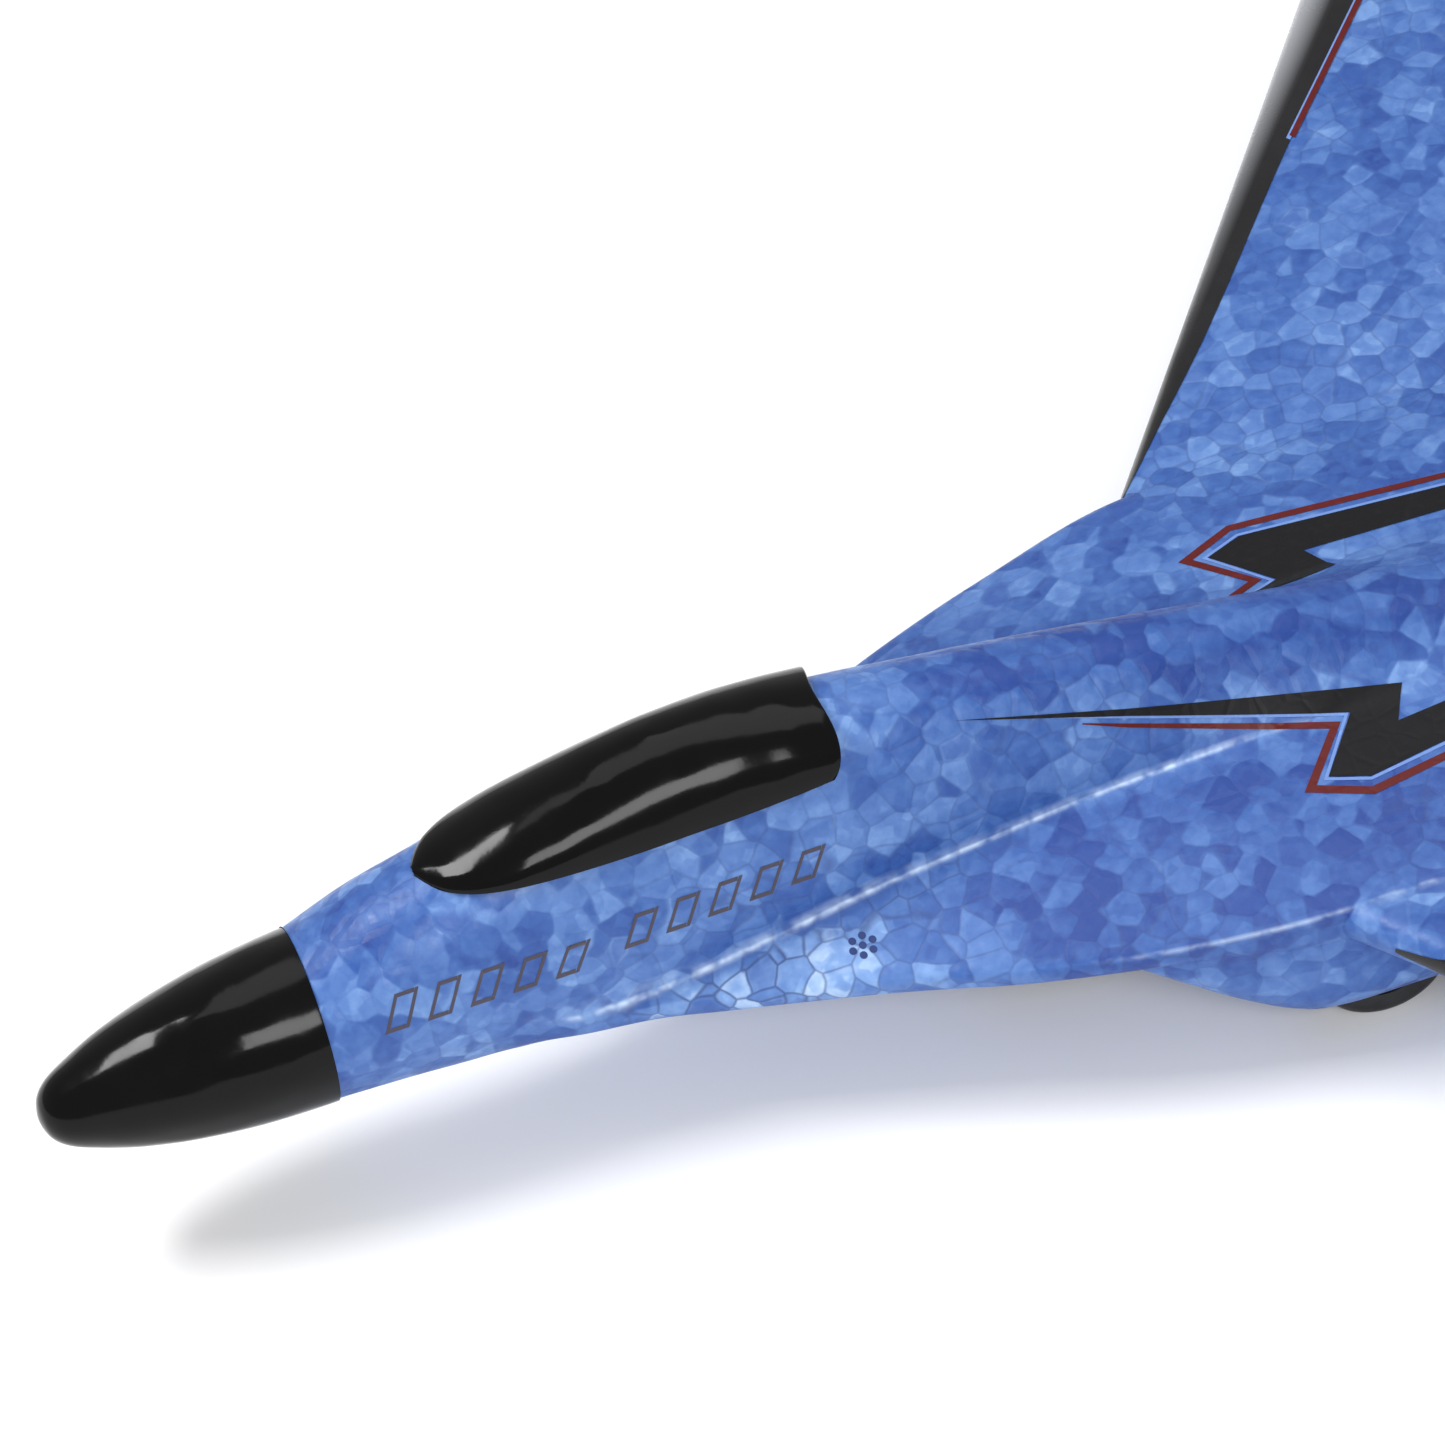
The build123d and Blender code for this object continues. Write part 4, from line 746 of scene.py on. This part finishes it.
def make_canopy():
    """A shell from its outer and inner arches, closed along its rim, with a soft rear edge."""
    outer = np.array(canopy_rings(0.0))
    inner = np.array(canopy_rings(CANOPY_WALL))
    inner[:, :, 0] = np.minimum(inner[:, :, 0], outer[:, :, 0])
    rows, columns = outer.shape[:2]
    soft = np.array([outer[-1] + (inner[-1] - outer[-1]) * s + np.array([d, 0, 0])
                     for s, d in ((0.06, 0.12), (0.25, 0.2), (0.6, 0.2))])
    grid = np.concatenate([outer, soft, inner[::-1]])
    total = grid.shape[0]
    faces = ring_faces(total, columns, closed=False, caps=False)
    for i in range(rows - 1):
        mirror = total - 1 - i
        for j in (0, columns - 1):
            faces.append(tuple(row * columns + j for row in (i, i + 1, mirror - 1, mirror)))
    piece = build("canopy_shell", grid.reshape(-1, 3), faces, finish="black_gloss",
                  material=black_gloss, angle=50)
    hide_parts("canopy")


def turned_rings(profile, segments):
    angles = np.linspace(0, 2 * pi, segments, endpoint=False)
    return [[(x, r * sin(a), r * cos(a)) for a in angles] for x, r in profile]


def make_nose():
    """Drooping ogive with its open base, as a thin shell."""
    xs = [p[0] for p in NOSE_PROFILE]
    s = np.linspace(0, 1, 70) ** 1.8 * 40.0
    radius = np.sqrt(np.maximum(eased(xs, [p[1] ** 2 for p in NOSE_PROFILE], s)[:, 0], 0.0))
    outer = list(zip(s, radius))
    inner = [(x + NOSE_WALL * 1.1, max(r - NOSE_WALL, 0.02)) for x, r in outer if x < 36]
    rings = np.array(turned_rings(outer + [(40.0, 10.6)] + inner[::-1], 96))
    droop = Matrix.Rotation(radians(-NOSE_DROOP), 4, "Y")
    placed = []
    for x, y, z in rings.reshape(-1, 3):
        placed.append(np.array(droop @ Vector((x - NOSE_LENGTH, y, z))) + (NOSE_LENGTH, 0, 0.1))
    placed = np.array(placed)
    over = placed[:, 0] > NOSE_LENGTH
    placed[over, 0] = NOSE_LENGTH
    faces = ring_faces(rings.shape[0], rings.shape[1], caps=True)
    piece = build("nose_shell", placed, faces, finish="black_gloss", material=black_gloss, angle=50)
    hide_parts("nose_cone")


make_canopy()
make_nose()


def make_fins():
    """Flat foam fins with rounded edges."""
    for name, side in SIDES.items():
        bm = bmesh.new()
        half = FIN_THICKNESS / 2
        front = [bm.verts.new(metres((x, FIN_Y * side - half, z))) for x, z in FIN_OUTLINE]
        face = bm.faces.new(front)
        grown = bmesh.ops.extrude_face_region(bm, geom=[face])
        moved = [g for g in grown["geom"] if isinstance(g, bmesh.types.BMVert)]
        bmesh.ops.translate(bm, verts=moved, vec=(0, 2 * half / 1000, 0))
        bmesh.ops.recalc_face_normals(bm, faces=bm.faces)
        bmesh.ops.bevel(bm, geom=list(bm.edges), offset=0.0009, segments=4, profile=0.5, affect="EDGES")
        mesh = bpy.data.meshes.new(f"fin_foam_{name}")
        bm.to_mesh(mesh)
        bm.free()
        piece = add_piece(f"fin_foam_{name}", mesh, finish="blue_foam", material=foam, angle=30)
        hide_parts(f"fin_{name}")


def make_tailplanes():
    ys = np.concatenate([np.linspace(32, 90, 20), np.linspace(91, 96, 10)])
    rows = eased([r[0] for r in TAIL_EDGES], [r[1:] for r in TAIL_EDGES], ys)
    for name, side in SIDES.items():
        rings = []
        for y, (le, te, half) in zip(ys, rows):
            over = [(te - 0.15 * half, half * 0.55), (te - half, half * 0.92)]
            over += [(x, half) for x in np.linspace(te - 2 * half, le + 2.2 * half, 12)]
            lead = [(le + 2.0 * half * (1 - sin(a)), half * cos(a)) for a in np.linspace(0.1, pi - 0.1, 15)]
            ring = over + lead + [(x, -z) for x, z in reversed(over)]
            rings.append([(x, y * side, TAIL_MID_Z + z) for x, z in ring])
        piece = loft(f"tailplane_foam_{name}", rings, finish="blue_foam", material=foam)
        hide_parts(f"tailplane_{name}")


make_fins()
make_tailplanes()


def make_tapes():
    """Film folded round each wing's leading edge, fading to pale grey along the edge itself: a painted
    sheen in place of the reflection there.
    """
    for name, side in SIDES.items():
        edge = TAPE_EDGE[name]
        start = edge[0][0]
        root, middle, tip = np.linspace(start, 56, 14), np.linspace(58, 134, 58), np.linspace(135, 149, 16)
        ys = np.concatenate([root, middle, tip])
        widths = eased([t[0] for t in edge], [t[1] for t in edge], ys)[:, 0]
        grid, painted_sheen = [], []
        for y, width in zip(ys, widths):
            ring = np.array(wing_ring(y, skin=TAPE_LIFT))
            lead = int(np.argmin(ring[:, 0]))
            le = ring[lead, 0]
            top, low = ring[lead::-1], ring[lead:]
            upper = cut_strip(top, le + width)
            lower = cut_strip(low, le + min(TAPE_UNDER, 0.4 * width))
            folded = np.concatenate([upper[::-1], lower[1:]])
            grid.append([(x, y * side, z) for x, z in folded])
            # Painted sheen along the leading edge: none inboard of y 62, full from y 122 outwards.
            reach = min(max((y - 62.0) / 60.0, 0.0), 1.0)
            painted_sheen += [reach * min(max(1.0 - (x - le) / (0.55 * width), 0.0), 1.0) for x, _ in folded]
        rows = np.array(grid)
        faces = ring_faces(rows.shape[0], rows.shape[1], closed=False, caps=False)
        piece = build(f"tape_film_{name}", rows.reshape(-1, 3), faces, finish="black_tape",
                      material=tape_film, angle=60, merge=False)
        layer = piece.data.attributes.new("painted_sheen", "FLOAT", "POINT")
        layer.data.foreach_set("value", np.array(painted_sheen, np.float32))
        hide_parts(f"edge_tape_{name}")


def cut_strip(path, limit, count=18):
    """Even points along a path from its start until x reaches limit."""
    path = np.asarray(path)
    inside = [path[0]]
    for a, b in zip(path, path[1:]):
        if b[0] >= limit:
            share = (limit - a[0]) / max(b[0] - a[0], 1e-9)
            inside.append(a + (b - a) * share)
            break
        inside.append(b)
    inside = np.array(inside)
    run = np.concatenate([[0], np.cumsum(np.linalg.norm(np.diff(inside, axis=0), axis=1))])
    at = np.linspace(0, run[-1], count)
    return np.stack([np.interp(at, run, inside[:, 0]), np.interp(at, run, inside[:, 1])], axis=1)


make_tapes()


def make_propellers():
    """Two thin twisted blades blended into a rounded hub."""
    radii = np.linspace(1.2, 22.4, 40)
    rows = eased([b[0] for b in BLADE], [b[1:] for b in BLADE], radii)
    for name, side in SIDES.items():
        points, faces = [], []
        for turn in (0, 180):
            rings = []
            for radius, (chord, thick, pitch) in zip(radii, rows):
                lean = radians(pitch) * side
                ring = []
                for k in range(24):
                    a = 2 * pi * k / 24
                    along, across = chord / 2 * cos(a), thick / 2 * sin(a)
                    px = along * sin(lean) + across * cos(lean)
                    py = along * cos(lean) - across * sin(lean)
                    ring.append((px, py, radius))
                rings.append(ring)
            base = len(points)
            faces += [tuple(base + i for i in f) for f in ring_faces(len(rings), 24)]
            turned = Matrix.Rotation(radians(turn), 3, "X")
            points += [tuple(turned @ Vector(p)) for ring in rings for p in ring]
        rings = turned_rings(HUB, 40)
        base = len(points)
        faces += [tuple(base + i for i in f) for f in ring_faces(len(rings), 40, caps=False)]
        points += [p for ring in rings for p in ring]
        spin = Matrix.Rotation(radians(PROP_TURN * side), 3, "X")
        placed = [np.array(spin @ Vector(p)) + (PROP_X, MOTOR_Y * side, 0.0) for p in points]
        piece = build(f"propeller_blades_{name}", placed, faces, body=f"propeller_{name}",
                      finish="propeller_plastic", material=prop_plastic, angle=40)
        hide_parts(f"propeller_{name}")


make_propellers()

# ---------------------------------------- printed film on the foam

surface = BVHTree.FromObject(foam_body, bpy.context.evaluated_depsgraph_get())
SLANT = radians(45)


def on_surface(x, q, side, lift):
    """The point of the foam at x that lies q along a line slanted 45 degrees outward and up."""
    out = Vector((0.0, side * sin(SLANT), cos(SLANT)))
    across = Vector((0.0, -side * cos(SLANT), sin(SLANT)))
    start = Vector(metres((x, 0, 0))) + across * (q * 0.001) + out * 0.12
    spot, normal, _, _ = surface.ray_cast(start, -out)
    return spot + normal * (lift * 0.001)


def strip(line, widths):
    """Outline of a band along a line of (x, q) points: widths to its left at each point."""
    p = np.asarray(line, float)
    left = []
    for i in range(len(p)):
        before = p[i] - p[max(i - 1, 0)]
        after = p[min(i + 1, len(p) - 1)] - p[i]
        before = before if i else after
        after = after if i < len(p) - 1 else before
        n0 = np.array([-before[1], before[0]]) / np.linalg.norm(before)
        n1 = np.array([-after[1], after[0]]) / np.linalg.norm(after)
        middle = n0 + n1
        left.append(p[i] + middle * widths[i] / max(0.5 * middle.dot(middle), 0.35))
    return [tuple(q) for q in p] + [tuple(q) for q in left[::-1]]


def band(line, half_widths):
    """Outline of a band on both sides of a line of (x, q) points."""
    one = strip(line, half_widths)
    other = strip(line, [-w for w in half_widths])
    return one[len(line):][::-1] + other[len(line):]


def film(name, outlines, side, material, lift=0.07, step=1.2):
    """Printed shapes, given as (x, q) outlines, cut into small faces and laid on the foam."""
    bm = bmesh.new()
    for outline in outlines:
        bm.faces.new([bm.verts.new((x, q, 0.0)) for x, q in outline])
    for axis in (0, 1):
        low = min(p[axis] for outline in outlines for p in outline)
        high = max(p[axis] for outline in outlines for p in outline)
        for cut in np.arange(low + step, high, step):
            spot, normal = [0, 0, 0], [0, 0, 0]
            spot[axis], normal[axis] = cut, 1.0
            everything = bm.verts[:] + bm.edges[:] + bm.faces[:]
            bmesh.ops.bisect_plane(bm, geom=everything, plane_co=spot, plane_no=normal)
    for vert in bm.verts:
        vert.co = on_surface(vert.co.x, vert.co.y, side, lift)
    bmesh.ops.recalc_face_normals(bm, faces=bm.faces)
    mesh = bpy.data.meshes.new(name)
    bm.to_mesh(mesh)
    bm.free()
    if sum(p.normal.z for p in mesh.polygons) < 0:
        mesh.flip_normals()
    add_piece(name, mesh, finish="black_tape", material=material, angle=None)


BOLT = [(124.0, 9.1), (146.5, 3.4), (181.2, -4.6), (178.6, -9.0), (199.0, -7.6), (262.0, -3.2),
        (199.0, -11.4), (172.2, -14.5), (167.2, -12.9), (173.5, -6.1), (146.3, 2.5)]
# two thin lines follow the outer side of the bolt, from its front point to its tail, pale then red
PALE_LINE = [(134.0, 6.3), (146.3, 2.5), (173.3, -6.05), (167.1, -12.95), (172.1, -14.6),
             (199.1, -11.5), (261.0, -3.4)]
RED_LINE = [(140.0, 3.5), (145.8, 1.4), (171.0, -7.0), (164.4, -13.6), (171.6, -16.3),
            (199.5, -13.1), (259.0, -4.5)]
PALE_WIDTHS = (-0.1, -0.3, -0.38, -0.38, -0.38, -0.38, -0.12)
RED_WIDTHS = (0.08, 0.26, 0.46, 0.5, 0.5, 0.44, 0.12)
WING_LINE = [(206.2, -66.3), (213.9, -72.6), (223.9, -80.8), (233.6, -88.7), (243.0, -96.2)]
DOT_CENTRE = (104.8, -14.1)
DOT_RING = (1.45, 1.25)  # how far the six outer dots stand off, along and up the flank
DOTS = [DOT_CENTRE]
for turn in range(15, 360, 60):
    along, up = DOT_RING[0] * cos(radians(turn)), DOT_RING[1] * sin(radians(turn))
    DOTS.append((DOT_CENTRE[0] + along, DOT_CENTRE[1] + up))


def disc(x, q, radius):
    return [(x + radius * cos(2 * pi * k / 12), q + radius * sin(2 * pi * k / 12)) for k in range(12)]


def slanted_bars(first, last, foot, head, count):
    """Hollow slanted parallelograms in a row along the flank, a plain ornament."""
    outlines = []
    lean, width, line = 2.4, 3.2, 0.5
    for k in range(count):
        t = k / (count - 1)
        x = first + (last - first) * t
        low, high = foot[0] + (foot[1] - foot[0]) * t, head[0] + (head[1] - head[0]) * t
        for shift in (0.0, width - line):
            outlines.append([(x + shift, low), (x + shift + line, low), (x + shift + lean + line, high),
                             (x + shift + lean, high)])
        for q in (low, high - line):
            part = lean * (q - low) / (high - low)
            outlines.append([(x + part + line, q), (x + part + width - line, q),
                             (x + part + width - line + 0.2, q + line), (x + part + line + 0.2, q + line)])
    return outlines


for name, side in SIDES.items():
    film(f"bolt_pale_{name}", [strip(PALE_LINE, PALE_WIDTHS)], side, pale_film, 0.05)
    film(f"bolt_red_{name}", [band(RED_LINE, RED_WIDTHS)], side, red_film, 0.07)
    film(f"bolt_black_{name}", [BOLT], side, black_film, 0.09)
    pale_line = [(x - 0.9, q) for x, q in WING_LINE]
    red_line = [(x - 0.2, q) for x, q in WING_LINE]
    film(f"wing_pale_{name}", [strip(pale_line, (-0.6,) * len(WING_LINE))], side, pale_film, 0.16)
    film(f"wing_red_{name}", [strip(red_line, (-0.8,) * len(WING_LINE))], side, red_film, 0.18)
    film(f"flank_dots_{name}", [disc(x, q, 0.5) for x, q in DOTS], side, dot_film, 0.06, 0.5)
    bars = slanted_bars(43.8, 66.4, (-5.4, -5.7), (-0.9, -2.2), 5)
    bars += slanted_bars(75.8, 98.4, (-4.9, -4.0), (-1.1, -0.4), 5)
    film(f"flank_bars_{name}", bars, side, grey_film, 0.05, 1.0)


# ---------------------------------------- finishes of the CAD pieces

FINISHES = {
    "wing_spar": carbon, "electronics_tray": black_plastic, "belly_cover": black_plastic,
    "battery_door": black_plastic, "door_hinge_pin": steel, "cover_screws": steel,
    "circuit_board": board_green, "board_chips": chip_black, "battery_cell": pouch,
    "battery_plug": nylon, "battery_socket": nylon, "switch_body": black_plastic,
    "switch_knob": black_plastic, "charge_socket": black_plastic, "status_lamp": lens,
    "antenna_wire": wire_cover,
}
SIDE_FINISHES = {
    "wheel_box": black_plastic, "axle": steel, "wheel_hub": black_plastic, "tyre": tyre_rubber,
    "motor_mount": black_plastic, "motor_can": can_steel, "motor_end_cap": nylon, "motor_magnet": nickel,
    "motor_rotor": copper, "motor_shaft": steel, "motor_lead": wire_cover,
}
for side in SIDES:
    for kind, material in SIDE_FINISHES.items():
        FINISHES[f"{kind}_{side}"] = material
for node, material in FINISHES.items():
    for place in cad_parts[node].material_slots:
        place.material = material

# ---------------------------------------- floor, light and camera

FLOOR_HALF = 6.0  # metres
FLOOR_Z = -0.0002  # just under the wheels, so that no face lies in another
floor_material = Nodes("pale_floor")
floor_cloud = floor_material.noise(6.0, 2.0).outputs["Fac"]
floor_material.set(Base_Color=floor_material.mix(floor_cloud, srgb(246, 246, 247), srgb(251, 251, 251)))
floor_material.shader.inputs["Roughness"].default_value = 0.9
floor_mesh = bpy.data.meshes.new("floor")
corners = [(x * FLOOR_HALF, y * FLOOR_HALF, FLOOR_Z) for x, y in ((-1, -1), (1, -1), (1, 1), (-1, 1))]
floor_mesh.from_pydata(corners, [], [(0, 1, 2, 3)])
floor_mesh.materials.append(floor_material.material)
floor = bpy.data.objects.new("floor", floor_mesh)
bpy.context.scene.collection.objects.link(floor)


def softbox(name, place, aim, width, height, power):
    data = bpy.data.lights.new(name, "AREA")
    data.shape = "RECTANGLE"
    data.size, data.size_y = width, height
    data.energy = power
    lamp = bpy.data.objects.new(name, data)
    lamp.location = place
    lamp.rotation_euler = (Vector(aim) - Vector(place)).to_track_quat("-Z", "Y").to_euler()
    bpy.context.scene.collection.objects.link(lamp)


softbox("key_softbox", (-0.72, 0.28, 1.1), (-0.08, 0, 0.05), 0.5, 0.24, 8.5)
softbox("top_softbox", (0.2, 0.35, 1.5), (0.0, 0, 0.03), 1.4, 1.0, 8.0)
softbox("side_softbox", (-0.1, -0.95, 0.75), (-0.1, 0, 0.05), 0.5, 0.4, 7.4)

world = bpy.data.worlds.new("studio")
bpy.context.scene.world = world
world.use_nodes = True
sky = world.node_tree.nodes["Background"]
sky.inputs["Color"].default_value = (1.0, 1.0, 1.0, 1.0)
sky.inputs["Strength"].default_value = 0.5
bpy.context.scene.view_settings.view_transform = "Standard"

FOCAL_LENGTH = 395.9  # millimetres
CAMERA_DISTANCE = 2.0  # metres
camera_data = bpy.data.cameras.new("camera")
camera = bpy.data.objects.new("camera", camera_data)
bpy.context.scene.collection.objects.link(camera)
camera_data.lens = FOCAL_LENGTH
camera_data.sensor_width = 36.0
camera_data.clip_end = 20.0
RIGHT = Vector((0.93726, -0.32294, -0.13135))
UP = Vector((0.31692, 0.63218, 0.70705))
BACK = Vector((-0.14529, -0.70432, 0.69486))
TARGET = Vector((-0.07643, 0.0, 0.05184))
turn = Matrix((RIGHT, UP, BACK)).transposed().to_4x4()
camera.matrix_world = Matrix.Translation(TARGET + BACK * CAMERA_DISTANCE) @ turn
bpy.context.scene.camera = camera
